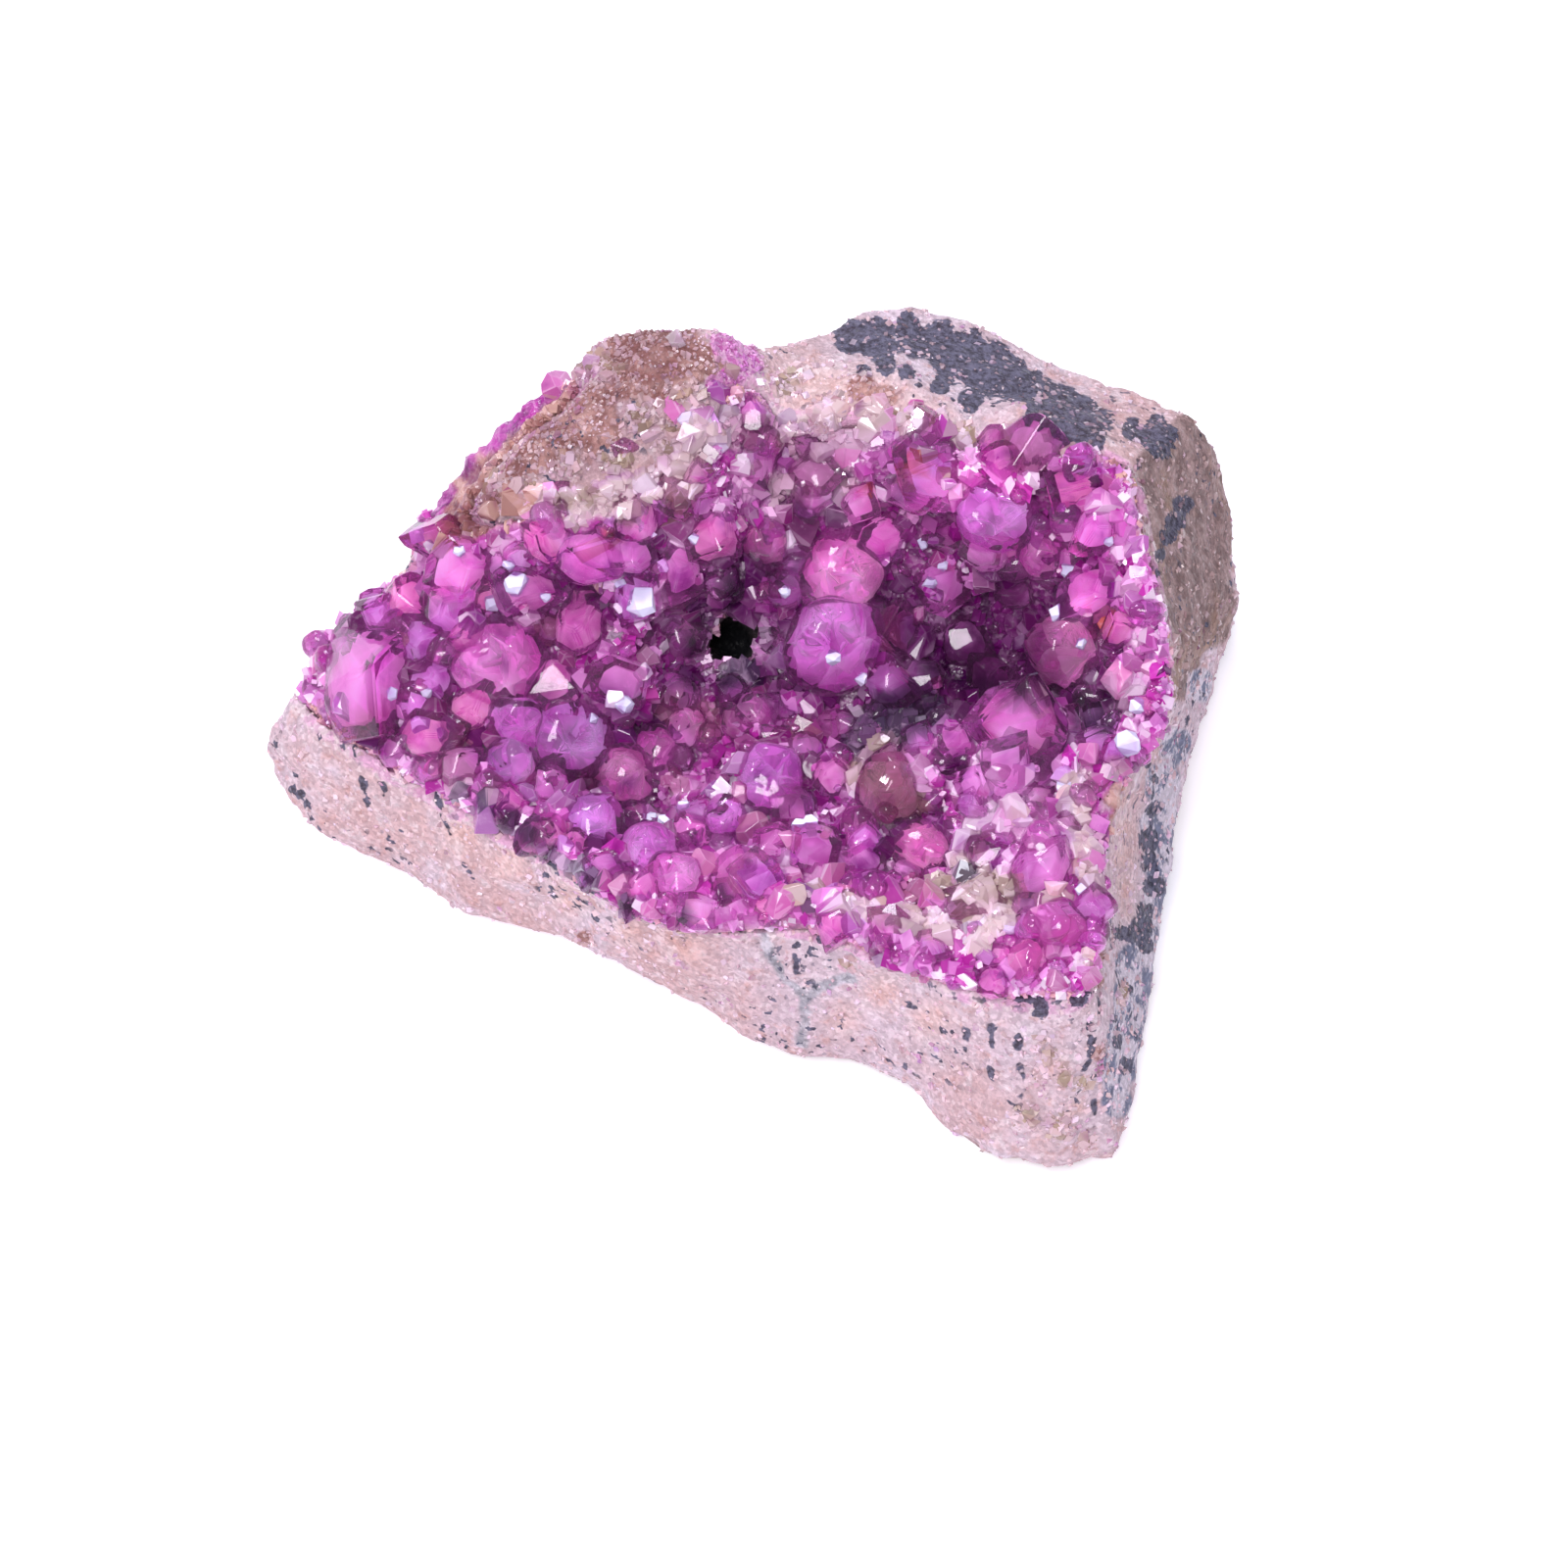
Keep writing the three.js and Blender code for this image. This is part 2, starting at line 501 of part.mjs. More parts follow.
// Small crystals between those, on a slanting grid in the picture that skips the spots a larger
// crystal fills and those off the crust.
const FILL_LEFT = 300; // the grid's first pixel across
const FILL_TOP = 420; // and down
const FILL_COLUMNS = 21;
const FILL_ROWS = 15;
const FILL_STEP = 46; // pixels across
const FILL_ROW_STEP = 41.4; // pixels down
const FILL_JITTER = 12; // pixels
const FILL_RADIUS = 1.4;
const FILL_VARIATION = 0.35; // share of the radius
const FILL_OVERLAP = 0.8; // share of a small crystal that a larger one may cover
const FILL_EDGE = 0.5; // clear distance to the crust's edge
const PIXELS_PER_MM = PIXELS_PER_RADIAN / SIGHT_DISTANCE;

function fillCrystals() {
  const small = [];
  for (let row = 0; row < FILL_ROWS; row++) {
    for (let column = 0; column < FILL_COLUMNS; column++) {
      const [shiftX, shiftY, growth] = [1, 2, 3].map((n) => latticeValue(row, column, n));
      const px = FILL_LEFT + FILL_STEP * (column + 0.5 * (row % 2)) + FILL_JITTER * shiftX;
      const py = FILL_TOP + FILL_ROW_STEP * row + FILL_JITTER * shiftY;
      const radius = FILL_RADIUS * (1 + FILL_VARIATION * growth);
      const spot = landOn(px, py);
      const covered = crystals.some(([x, y, r]) => {
        const reach = r + (1 - FILL_OVERLAP) * radius;
        return Math.hypot(x - px, y - py) < reach * PIXELS_PER_MM;
      });
      if (!covered && insideEdge(spot.x, spot.y) > FILL_EDGE) small.push([px, py, radius]);
    }
  }
  return small;
}

// The small dark pit: three blocks along the line of sight, as pixel x, pixel y, width, height.
const pitBlocks = [
  [752, 652, 2.3, 2.9],
  [737, 660, 1.9, 1.7],
  [764, 646, 1.4, 1.6],
];
const PIT_DEPTH = 7; // how far the blocks reach in from the surface
const PIT_MOUTH = 2.5; // how far the blocks reach out of the surface

function pitBlock([px, py, width, height]) {
  const line = sightLine(px, py);
  const centre = landOn(px, py).addScaledVector(line, (PIT_DEPTH - PIT_MOUTH) / 2);
  const block = new THREE.BoxGeometry(width, height, PIT_DEPTH + PIT_MOUTH);
  const facing = new THREE.Quaternion().setFromUnitVectors(new THREE.Vector3(0, 0, 1), line);
  return solidFrom(block.applyQuaternion(facing).translate(centre.x, centre.y, centre.z));
}

// The solids
const low = new THREE.Vector2(-36, -32); // corners in plan that hold the whole block
const high = new THREE.Vector2(36, 34);
const ground = (height, cell, floor) => solidFrom(terrain(height, cell, low, high, floor));
const floorBlock = ground(floorHeight, FLOOR_CELL, 2 * TERRAIN_FLOOR);
const topBlock = ground(rockHeight, ROCK_CELL, TERRAIN_FLOOR);
const wallsGrown = (growth) => solidFrom(stack(wallRings(growth)));
const wholeRock = wallsGrown(0).intersect(topBlock);
const pocket = solidFrom(prism(crustEdge)).subtract(floorBlock);
const pit = wasm.Manifold.union(pitBlocks.map(pitBlock));
const rock = wholeRock.subtract(pocket).subtract(pit);

const inRim = solidFrom(prism(insetOutline(crustEdge, GAP)));
const slab = inRim
  .intersect(wallsGrown(WALL_OVERLAP))
  .intersect(ground(crustHeight, CRUST_CELL, TERRAIN_FLOOR));
const beside = wallsGrown(GAP).intersect(topBlock).translate(0, 0, GAP).subtract(inRim);
const standing = [...crystals, ...fillCrystals()].map(crystalSolid);
const grown = wasm.Manifold.union([slab, ...standing])
  .subtract(beside)
  .subtract(floorBlock.translate(0, 0, GAP))
  .subtract(pit);
const crust = grown.decompose().reduce((a, b) => (a.volume() > b.volume() ? a : b));

function named(name, solid, material) {
  const mesh = new THREE.Mesh(geometryFrom(solid), material);
  mesh.name = name;
  return mesh;
}

const rockMaterial = new THREE.MeshStandardMaterial({ color: 0xd9a595, roughness: 0.85 });
const crystalMaterial = new THREE.MeshStandardMaterial({ color: 0xc23ba0, roughness: 0.22 });
const specimen = new THREE.Group();
specimen.add(named("host_rock", rock, rockMaterial));
specimen.add(named("crystal_crust", crust, crystalMaterial));

export default specimen;
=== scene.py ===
import itertools
import math

import bmesh
import bpy
import numpy as np
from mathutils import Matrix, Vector
from mathutils.bvhtree import BVHTree
from mathutils.kdtree import KDTree


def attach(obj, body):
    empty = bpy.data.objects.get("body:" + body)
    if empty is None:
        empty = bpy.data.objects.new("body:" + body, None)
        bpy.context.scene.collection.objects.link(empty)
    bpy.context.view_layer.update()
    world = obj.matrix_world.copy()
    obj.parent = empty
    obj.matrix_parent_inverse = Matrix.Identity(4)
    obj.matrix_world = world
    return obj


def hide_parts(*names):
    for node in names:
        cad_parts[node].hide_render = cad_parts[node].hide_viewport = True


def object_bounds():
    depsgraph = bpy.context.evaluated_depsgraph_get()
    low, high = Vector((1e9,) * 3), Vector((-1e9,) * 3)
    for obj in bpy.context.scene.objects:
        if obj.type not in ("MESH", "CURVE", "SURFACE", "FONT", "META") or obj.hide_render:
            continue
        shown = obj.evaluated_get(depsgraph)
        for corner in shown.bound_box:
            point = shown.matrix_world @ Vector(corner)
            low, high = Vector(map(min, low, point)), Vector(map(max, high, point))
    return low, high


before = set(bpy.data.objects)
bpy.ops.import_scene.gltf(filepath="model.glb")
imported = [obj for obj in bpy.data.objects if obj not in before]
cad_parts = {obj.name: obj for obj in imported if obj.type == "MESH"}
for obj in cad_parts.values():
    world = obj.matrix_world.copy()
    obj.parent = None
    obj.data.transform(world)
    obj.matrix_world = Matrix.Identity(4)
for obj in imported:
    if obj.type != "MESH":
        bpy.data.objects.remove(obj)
cad_lowest, cad_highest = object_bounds()

MM = 0.001
SEED = 41
PLACED_SEED = 42

# The photograph's view. Points read off the picture, in its 1600 by 1600 pixels, are placed on
# the specimen along the line of sight to them.
PICTURE_SIZE = 1600
PICTURE_CENTRE = PICTURE_SIZE / 2
PIXELS_PER_RADIAN = 6667
SENSOR_WIDTH = 36
SIGHT_ELEVATION = math.radians(57)
SIGHT_DISTANCE = 404
SIGHT_TARGET = np.array((1.7, -5.2, 10.0))
PIXELS_PER_MM = PIXELS_PER_RADIAN / SIGHT_DISTANCE
FORWARD = np.array((0, math.cos(SIGHT_ELEVATION), -math.sin(SIGHT_ELEVATION)))
RIGHTWARD = np.array((1.0, 0, 0))
UPWARD = np.array((0, math.sin(SIGHT_ELEVATION), math.cos(SIGHT_ELEVATION)))
TO_VIEWER = -FORWARD
EYE = SIGHT_TARGET - SIGHT_DISTANCE * FORWARD

# Sizes in millimetres. Radii are the smallest one and how much more the largest has.
ROCK_VOXEL = 0.37
ROCK_SMOOTHING = 3  # rounds of it
BED_VOXEL = 0.40
BED_SMOOTHING = 10
ROCK_LUMPS = ((2.3, 0.22), (1.0, 0.10))  # size and height
ROCK_CHIPS = ((1.7, 0.20, 0.25), (0.7, 0.14, 0.3))  # size, height and the share that is edge
ROCK_SUGAR = 0.26
DRUSE_SUGAR = 0.3
COVER_REACH = 6  # rock with the crust at most this far above it counts as covered
RIM_BAND = (1.8, 0.2)  # distances to the crust over which the rock takes on its pink
LINE_REACH = 3  # how far from a vein or crack its strength is measured
FOOT_BAND = (0.1, 1.2)  # heights over which the rock's relief begins, so that its foot stays flat
BED_LIFT = 0.2
BED_DROP = 0.55  # how much lower the bed lies away from the bare rock
FINE_BALL = 1.8  # rounded crystals of a larger radius have the finer mesh
MILKY_BALL = 2.3  # and those of a larger radius than this have more milk inside
LEAST_HOST = 1.2  # the smallest crystal that others sit on
FROSTED_BAND = (1.3, 0.6)  # from the first radius down to the second more and more are frosted
FILLER_SPACING = 0.95
FILLER_RADII = (0.50, 0.75)
PALE_SPACING = 0.42
PALE_RADII = (0.24, 0.40)
SMALL_RADII = (0.25, 0.60)
RIM_RADII = (0.14, 0.36)
SEAM_RADII = (0.12, 0.26)
GRAIN_RADII = (0.09, 0.20)
STREWING = 0.2  # how far a grain is moved along the surface it sits on

# Shares of a crystal's own radius
BALL_CORE = 0.66
BALL_SIZE = 0.90
BALL_FLATNESS = 0.75  # how much a rounded crystal has of its flats, and the rest of a ball
BALL_SHARPNESS = 18  # how sharp the edges between those flats are
BLOCK_CORE = 0.6
PLACED_DEPTH = 0.60  # how deep its middle lies under what the picture shows
FILLER_DEPTH = 0.15
MIRROR_DEPTH = 0.15
HOST_SIDE = 0.86  # how far from their host's middle the crystals on its sides stand
ENCRUSTING_SIZES = (0.12, 0.30)
WORN_DEPTH = 0.025
PLACED_STRETCH = (0.85, 1.25)
GROWN_STRETCH = (0.8, 1.5)
ENCRUSTING_STRETCH = (0.9, 1.6)
TUCKED_FROM = (0, 0.96, 1.12)  # the bed's points this far from a crystal's middle
TUCKED_TO = (0, 0.45, 1.12)  # are taken in to here
FACE_ANGLES = (42, 54)  # from a rhombohedron's axis to the normals of its faces, in degrees

# How far the directions of crystals stray from the one they grow in, over its length
BALL_LEAN = 0.35
BLOCK_LEAN = 0.5
SMALL_LEAN = 0.6
GRAIN_LEAN = 0.8
MIRROR_LEAN = 0.02

# Chances
ROUND_FILLER = 0.3
CLEAR_FILLER = 0.08
PALE_ENCRUSTING = 0.15
WHITE_AND_GLINTING_SMALL = 0.1
WHITE_SEAM = 0.15
OLIVE_GRAIN = 0.45

# Counts
LARGE_LEVEL, SMALL_LEVEL, FILLING_LEVEL = 5, 4, 3  # how often a rounded crystal's mesh is split
BALL_FLATS = 12  # besides the six faces
CUT_SHAPES = 36
CUTS = (9, 15)
ENCRUSTING_COUNT = 4
FILLER_COUNT = 420
PALE_COUNT = 700
SMALL_COUNT = 2800
RIM_COUNT = 3000
SEAM_COUNT = 2600
GRAIN_COUNT = 5200
SKY_RAYS = 14
LOWEST_RAY = 0.2  # how far up the lowest ray points, from 0 for level to 1 for upright

# Lights, as name, place and size in metres, power and colour
WINDOW_PLACE = (-0.25, 0.65, 0.75)
LIGHTS = (
    ("main light", (-0.15, -0.45, 0.85), 0.4, 7.5, (1.0, 0.97, 1.0)),
    ("window", WINDOW_PLACE, 0.28, 4.5, (0.88, 0.91, 1.0)),
    ("sparkle 0", (0.5, 0.35, 0.8), 0.08, 1.0, (0.97, 0.95, 1.0)),
    ("sparkle 1", (-0.65, 0.1, 0.6), 0.08, 1.0, (0.97, 0.95, 1.0)),
)
ROOM_COLOUR = (0.94, 0.93, 1.0, 1)
ROOM_LIGHT = 0.38
FLOOR_SIZE = 6
FLOOR_GLOW = 0.35

# The crystals that stand out, as pixel x, pixel y and radius in millimetres.
ROUND_CRYSTALS = [
    (510, 675, 3.1), (852, 657, 3.1), (858, 582, 2.9), (1014, 525, 2.7), (1095, 662, 3.0), (583, 747, 2.9),
    (787, 795, 2.3), (527, 740, 1.9), (670, 765, 1.6), (602, 842, 2.1), (662, 872, 2.1), (708, 850, 1.6),
    (690, 900, 2.0), (637, 792, 2.1), (520, 780, 1.7), (1060, 567, 1.5), (780, 552, 1.7), (800, 598, 1.6),
    (905, 805, 2.1), (941, 868, 1.9), (560, 800, 1.3), (1052, 975, 1.3), (700, 647, 1.6), (690, 707, 1.4),
    (700, 742, 1.4), (735, 592, 1.3), (770, 727, 1.3), (820, 770, 1.4), (740, 832, 1.5), (560, 855, 1.3),
    (420, 717, 1.4), (1080, 945, 1.7), (330, 660, 1.2), (1052, 948, 1.3), (1075, 975, 1.2),
]
FACETED_CRYSTALS = [
    (705, 624, 0.8), (736, 606, 0.7), (769, 608, 0.8), (799, 634, 0.8), (799, 671, 0.8), (779, 700, 0.8),
    (744, 704, 0.9), (708, 692, 0.8), (696, 656, 0.7), (372, 703, 2.8), (634, 695, 2.0), (590, 640, 1.9),
    (1040, 736, 2.4), (727, 547, 1.6), (695, 578, 1.5), (435, 752, 1.6), (468, 784, 1.6), (482, 722, 1.6),
    (600, 568, 2.1), (470, 578, 2.1), (460, 618, 1.7), (450, 548, 1.5), (650, 533, 1.5), (642, 565, 1.5),
    (648, 612, 1.5), (560, 548, 1.7), (540, 602, 1.6), (945, 478, 2.3), (1095, 498, 1.9), (1120, 537, 1.6),
    (1008, 562, 1.6), (1120, 602, 1.7), (912, 643, 2.1), (1062, 888, 1.9), (1045, 462, 2.0),
    (900, 547, 1.5), (880, 512, 1.3), (830, 482, 1.4), (905, 697, 1.3), (1030, 790, 1.7), (1000, 800, 1.4),
    (882, 860, 1.2), (975, 757, 1.2), (1125, 757, 1.1), (830, 865, 1.4), (755, 895, 1.6), (354, 664, 1.5),
    (395, 634, 1.7), (430, 657, 1.5), (418, 614, 1.5), (480, 652, 1.4), (960, 592, 1.5), (1142, 642, 1.0),
    (850, 790, 1.3), (1144, 692, 1.0), (940, 692, 1.4), (1010, 692, 1.5), (1060, 692, 1.5), (985, 652, 1.6),
    (620, 887, 1.3), (440, 692, 1.3), (565, 692, 1.3), (1085, 742, 1.3), (690, 507, 1.3), (765, 422, 1.2),
    (770, 472, 1.4), (940, 430, 1.3), (925, 645, 1.2), (345, 632, 1.2), (500, 610, 1.3), (600, 610, 1.4),
    (680, 635, 1.2), (1090, 570, 1.4), (1040, 600, 1.4), (970, 545, 1.4), (860, 740, 1.1), (525, 506, 0.8),
    (572, 505, 1.1), (680, 505, 1.0), (720, 475, 0.9), (760, 445, 1.0), (730, 400, 0.8), (825, 452, 1.1),
    (865, 455, 1.0), (962, 440, 0.8), (1012, 452, 0.8), (852, 926, 0.9), (900, 947, 0.8), (1022, 976, 0.8),
    (990, 930, 1.4), (1045, 985, 1.0), (1070, 940, 1.0), (1095, 950, 0.8), (690, 420, 0.8), (470, 800, 0.9),
]
CLEAR_CRYSTALS = [
    (640, 515, 1.1), (712, 425, 0.9), (785, 452, 1.1), (905, 430, 0.9), (785, 925, 0.8), (975, 960, 0.9),
    (640, 455, 0.9),
]
PALE_CRYSTALS = [
    (1050, 722, 0.8), (1036, 748, 0.7), (1060, 752, 0.6), (1000, 780, 0.7), (1022, 790, 0.7),
    (1046, 790, 0.8), (1010, 815, 0.7), (1034, 822, 0.8), (1058, 830, 0.7), (990, 845, 0.6),
    (1020, 850, 0.7), (1078, 860, 0.7), (1095, 890, 0.7), (1070, 920, 0.7), (1040, 930, 0.7),
    (940, 466, 0.7), (960, 486, 0.6), (925, 490, 0.6), (500, 520, 0.7), (548, 520, 0.8), (598, 522, 0.8),
    (615, 500, 0.8), (655, 490, 0.9), (690, 475, 0.8), (705, 450, 0.8), (735, 450, 0.8), (745, 420, 0.6),
    (775, 425, 0.7), (745, 380, 0.5), (805, 430, 0.9), (845, 430, 0.8), (885, 440, 0.7), (925, 445, 0.6),
    (985, 447, 0.6), (1035, 446, 0.7), (1068, 452, 0.7), (1092, 465, 0.6), (760, 918, 0.7), (808, 915, 0.7),
    (832, 908, 0.7), (876, 936, 0.7), (925, 950, 0.7), (950, 952, 0.6), (1000, 965, 0.7), (965, 915, 0.8),
    (1098, 800, 0.8), (1092, 822, 0.8), (1108, 840, 0.6), (1100, 868, 0.6), (1112, 905, 0.6),
    (1090, 915, 0.7), (480, 545, 0.7), (455, 560, 0.6), (665, 440, 0.7), (605, 372, 0.7), (690, 350, 0.5),
    (440, 782, 0.6),
]
PLACED_CRYSTALS = {
    "round": ROUND_CRYSTALS, "faceted": FACETED_CRYSTALS, "clear": CLEAR_CRYSTALS, "pale": PALE_CRYSTALS,
}

# Flat crystal faces that throw the window's light to the viewer, as pixel x, pixel y and radius.
MIRROR_FACES = [
    (526, 592, 1.0), (519, 574, 0.55), (503, 612, 0.85), (655, 610, 1.35), (662, 834, 0.75),
    (678, 834, 0.6), (697, 820, 0.5), (948, 593, 0.6), (962, 575, 0.5), (1079, 623, 0.8), (435, 704, 0.5),
    (556, 607, 0.45), (941, 553, 0.5), (1131, 550, 0.45), (1092, 580, 0.9), (708, 548, 0.5),
    (800, 602, 0.5), (604, 732, 0.5), (826, 838, 0.75), (1150, 755, 1.1), (1160, 718, 0.7), (850, 668, 0.7),
    (878, 690, 0.6), (636, 715, 0.8), (1103, 655, 0.5), (632, 593, 0.5), (468, 560, 0.5), (398, 705, 0.6),
    (1105, 905, 0.7), (1085, 800, 0.7), (815, 840, 0.6),
]

# Marks on the rock, as pixel x, pixel y and radius in pixels.
BLACK_STAINS = [
    (870, 345, 19), (895, 336, 14), (900, 352, 17), (925, 330, 13), (935, 346, 19), (960, 345, 19),
    (965, 365, 15), (990, 350, 17), (990, 372, 20), (1015, 365, 17), (1010, 390, 19), (1035, 380, 19),
    (1040, 400, 17), (1060, 390, 14), (1080, 410, 19), (1100, 420, 20), (1120, 428, 17), (1075, 435, 20),
    (1095, 446, 15), (1115, 450, 13), (1060, 420, 15), (905, 375, 10), (925, 380, 10), (880, 378, 8),
    (960, 392, 10), (990, 408, 12), (965, 385, 8), (1155, 440, 11), (1170, 445, 11), (1185, 455, 15),
    (1180, 435, 11), (1192, 445, 11), (1206, 516, 10), (1198, 532, 10), (1190, 548, 9), (1184, 566, 8),
    (1181, 585, 4), (1172, 780, 5), (1178, 795, 5), (1176, 825, 8), (1172, 858, 12), (1170, 880, 9),
    (1178, 905, 10), (1170, 930, 10), (1130, 945, 9), (1142, 952, 9), (1155, 955, 10), (1166, 945, 11),
    (1168, 965, 8), (1045, 1013, 10), (1055, 1018, 9), (1062, 1031, 9), (1038, 1020, 4), (1102, 1018, 9),
    (1109, 1013, 5), (1096, 1021, 3), (297, 806, 4), (306, 811, 5), (313, 822, 5), (283, 759, 4),
    (328, 752, 3), (300, 793, 3), (376, 816, 4), (812, 967, 4), (814, 980, 4), (1012, 1050, 3),
    (1113, 1047, 4), (1114, 1062, 3), (640, 432, 3), (654, 444, 4), (648, 438, 3), (480, 505, 3),
    (1140, 1062, 8), (1149, 1087, 9), (1136, 1040, 4), (1152, 1010, 5),
]
DUSKY = [
    (650, 425, 40), (600, 470, 32), (560, 440, 32), (620, 400, 32), (690, 430, 32), (530, 480, 26),
    (680, 475, 26), (570, 485, 26), (730, 400, 24), (640, 370, 24), (500, 510, 22), (460, 530, 18),
    (600, 362, 36), (650, 345, 36), (695, 352, 30), (560, 400, 30), (525, 440, 26), (670, 385, 24),
]
MOTTLED = [
    (1185, 800, 22), (1185, 840, 24), (1188, 880, 24), (1185, 920, 22), (1175, 955, 24), (1160, 985, 24),
    (1155, 1020, 24), (1150, 1055, 24), (1142, 1090, 22), (1140, 1125, 18), (1200, 760, 20),
    (1225, 700, 18),
]
TAUPE_TINTS = [
    (1190, 475, 30), (1220, 480, 34), (1205, 520, 36), (1235, 540, 36), (1180, 540, 24), (1225, 590, 36),
    (1200, 620, 30), (1240, 630, 30), (1215, 660, 28), (1190, 590, 26), (1165, 500, 20), (400, 590, 26),
    (425, 575, 22), (1212, 440, 20), (415, 560, 20), (1205, 700, 16),
]
SALMON_TINTS = [
    (860, 400, 34), (825, 388, 28), (900, 400, 28), (790, 398, 20), (930, 415, 22), (960, 425, 18),
    (1142, 815, 15), (1146, 845, 17), (1146, 875, 18), (1146, 905, 18), (1150, 930, 12), (1135, 790, 10),
    (470, 850, 24), (520, 880, 26), (580, 915, 26), (900, 1010, 26), (950, 1040, 26), (860, 1040, 24),
    (640, 950, 20), (700, 970, 22), (1080, 1090, 14), (1100, 1130, 12), (1190, 1040, 12),
]
BROWN_TINTS = [
    (625, 358, 22), (655, 352, 26), (690, 352, 26), (640, 385, 24), (600, 415, 26), (575, 430, 26),
    (560, 455, 26), (530, 470, 24), (610, 440, 26), (690, 390, 22), (500, 500, 20), (480, 520, 16),
    (465, 530, 14), (670, 400, 20), (720, 370, 20), (880, 395, 16), (860, 455, 14), (905, 405, 14),
    (1120, 975, 10), (1119, 1000, 9), (1122, 1075, 9), (1127, 1092, 8), (442, 798, 6), (596, 958, 9),
]
PALE_TINTS = [
    (602, 370, 18), (622, 378, 14), (700, 410, 20), (655, 425, 18), (630, 470, 16), (690, 445, 20),
    (580, 475, 14), (540, 495, 12), (505, 492, 12), (800, 392, 14), (818, 380, 10), (850, 415, 14),
    (905, 425, 12), (935, 428, 14), (960, 428, 12), (985, 440, 10), (770, 410, 14), (400, 760, 8),
    (420, 775, 8), (438, 786, 6), (1060, 1098, 10), (1085, 1098, 10), (1105, 1106, 9), (1060, 1065, 9),
    (1072, 1078, 8), (1045, 1140, 12), (1080, 1150, 14), (1110, 1165, 9), (1146, 1010, 7), (1142, 1020, 6),
    (1185, 690, 10), (1200, 660, 8), (1170, 560, 8), (1163, 620, 7), (700, 945, 8), (660, 935, 7),
    (730, 945, 7), (870, 985, 8), (905, 975, 8),
]
LILAC_DRUSE = [
    (878, 958, 8), (900, 962, 9), (922, 965, 10), (945, 968, 11), (968, 972, 10), (990, 978, 9),
    (935, 978, 8), (1008, 986, 8),
]
VEINS = [
    [(772, 940), (778, 956), (785, 975), (797, 991), (810, 1006), (820, 1016), (821, 1040), (818, 1066)],
    [(868, 998), (850, 1004), (836, 1007), (822, 1020)],
]
CRACKS = [
    [(358, 757), (366, 780), (374, 808), (378, 822), (384, 840), (400, 862), (412, 885)],
    [(445, 803), (447, 820), (455, 838), (459, 855), (462, 868), (470, 880), (481, 896)],
    [(808, 940), (806, 955), (812, 972), (814, 990)], [(410, 845), (430, 865)],
    [(390, 800), (397, 822)], [(926, 1024), (946, 1034)], [(1011, 1032), (1013, 1068)],
    [(1040, 1050), (1038, 1075), (1042, 1100), (1040, 1118)], [(1010, 1085), (1016, 1115), (1036, 1130)],
    [(1112, 1040), (1113, 1070), (1108, 1092), (1104, 1104)], [(1116, 930), (1122, 975), (1120, 1040)],
    [(560, 902), (568, 915)], [(986, 1050), (984, 1095)], [(1116, 1125), (1116, 1150)],
    [(640, 935), (700, 950), (760, 948)], [(985, 1003), (1040, 1008), (1100, 1006)],
    [(500, 832), (560, 878), (620, 918)], [(1140, 975), (1142, 1030), (1136, 1080)],
    [(1176, 790), (1174, 850), (1182, 900)],
]
KNOB_EDGE = [
    (446, 517, 14), (456, 495, 14), (470, 475, 14), (486, 458, 14), (505, 440, 14), (522, 424, 13),
    (540, 410, 12), (556, 398, 10),
]
PINK_DRUSE = KNOB_EDGE + [
    (740, 352, 16), (762, 368, 16), (748, 385, 14), (728, 392, 10), (1166, 760, 8), (330, 640, 8),
    (310, 680, 8), (960, 446, 8), (1040, 448, 8),
]

# Where the crust isn't magenta, as pixel x, pixel y and radius in pixels.
GREY_CALCITE = [
    (640, 480, 28), (612, 500, 22), (670, 470, 28), (700, 462, 26), (585, 508, 18), (560, 512, 16),
    (755, 440, 24), (800, 432, 26), (835, 440, 26), (870, 440, 24), (830, 480, 26), (860, 490, 18),
    (800, 500, 20), (935, 430, 20), (975, 440, 14), (1050, 460, 26), (890, 430, 20), (905, 765, 26),
    (885, 790, 26), (915, 810, 30), (895, 825, 22), (985, 880, 20), (1000, 905, 24), (1020, 930, 20),
    (975, 930, 18), (1000, 860, 16), (1100, 800, 20), (1095, 830, 20), (1110, 860, 18), (1115, 900, 14),
    (870, 925, 16), (905, 935, 16), (940, 945, 16), (515, 520, 14), (465, 786, 22), (500, 805, 12),
    (1140, 780, 12), (1130, 820, 10),
]
DARK_DRUSE = [
    (905, 722, 22), (935, 712, 20), (925, 740, 24), (955, 735, 20), (880, 740, 18), (865, 760, 14),
    (1105, 728, 18), (1125, 740, 14), (470, 808, 12), (495, 820, 12), (520, 838, 13), (540, 852, 13),
    (562, 872, 13), (585, 885, 12), (605, 900, 11), (640, 922, 9), (745, 690, 16), (770, 690, 14),
    (985, 890, 12), (700, 936, 8),
]
# Painted shade: the recesses of the hollow, darkened to deep purple.
RECESS_SHADE = [
    (1000, 650, 60), (950, 665, 46), (1045, 670, 44), (1060, 700, 34), (745, 615, 36), (775, 580, 34),
    (750, 575, 26), (710, 690, 24), (790, 690, 26), (660, 735, 22), (905, 600, 22), (1000, 690, 30),
    (930, 600, 18), (860, 705, 16), (600, 800, 24), (720, 650, 20), (545, 705, 14), (820, 700, 18),
    (1125, 700, 18),
]
RUSTY = [(933, 474, 13), (623, 545, 6), (611, 563, 5), (1130, 633, 7), (885, 500, 6)]
VIVID = [
    (1000, 500, 50), (1060, 520, 46), (1100, 560, 40), (960, 540, 46), (900, 540, 36), (1110, 620, 30),
    (1120, 500, 24), (470, 600, 26), (450, 640, 26), (1060, 960, 28), (980, 620, 30),
]
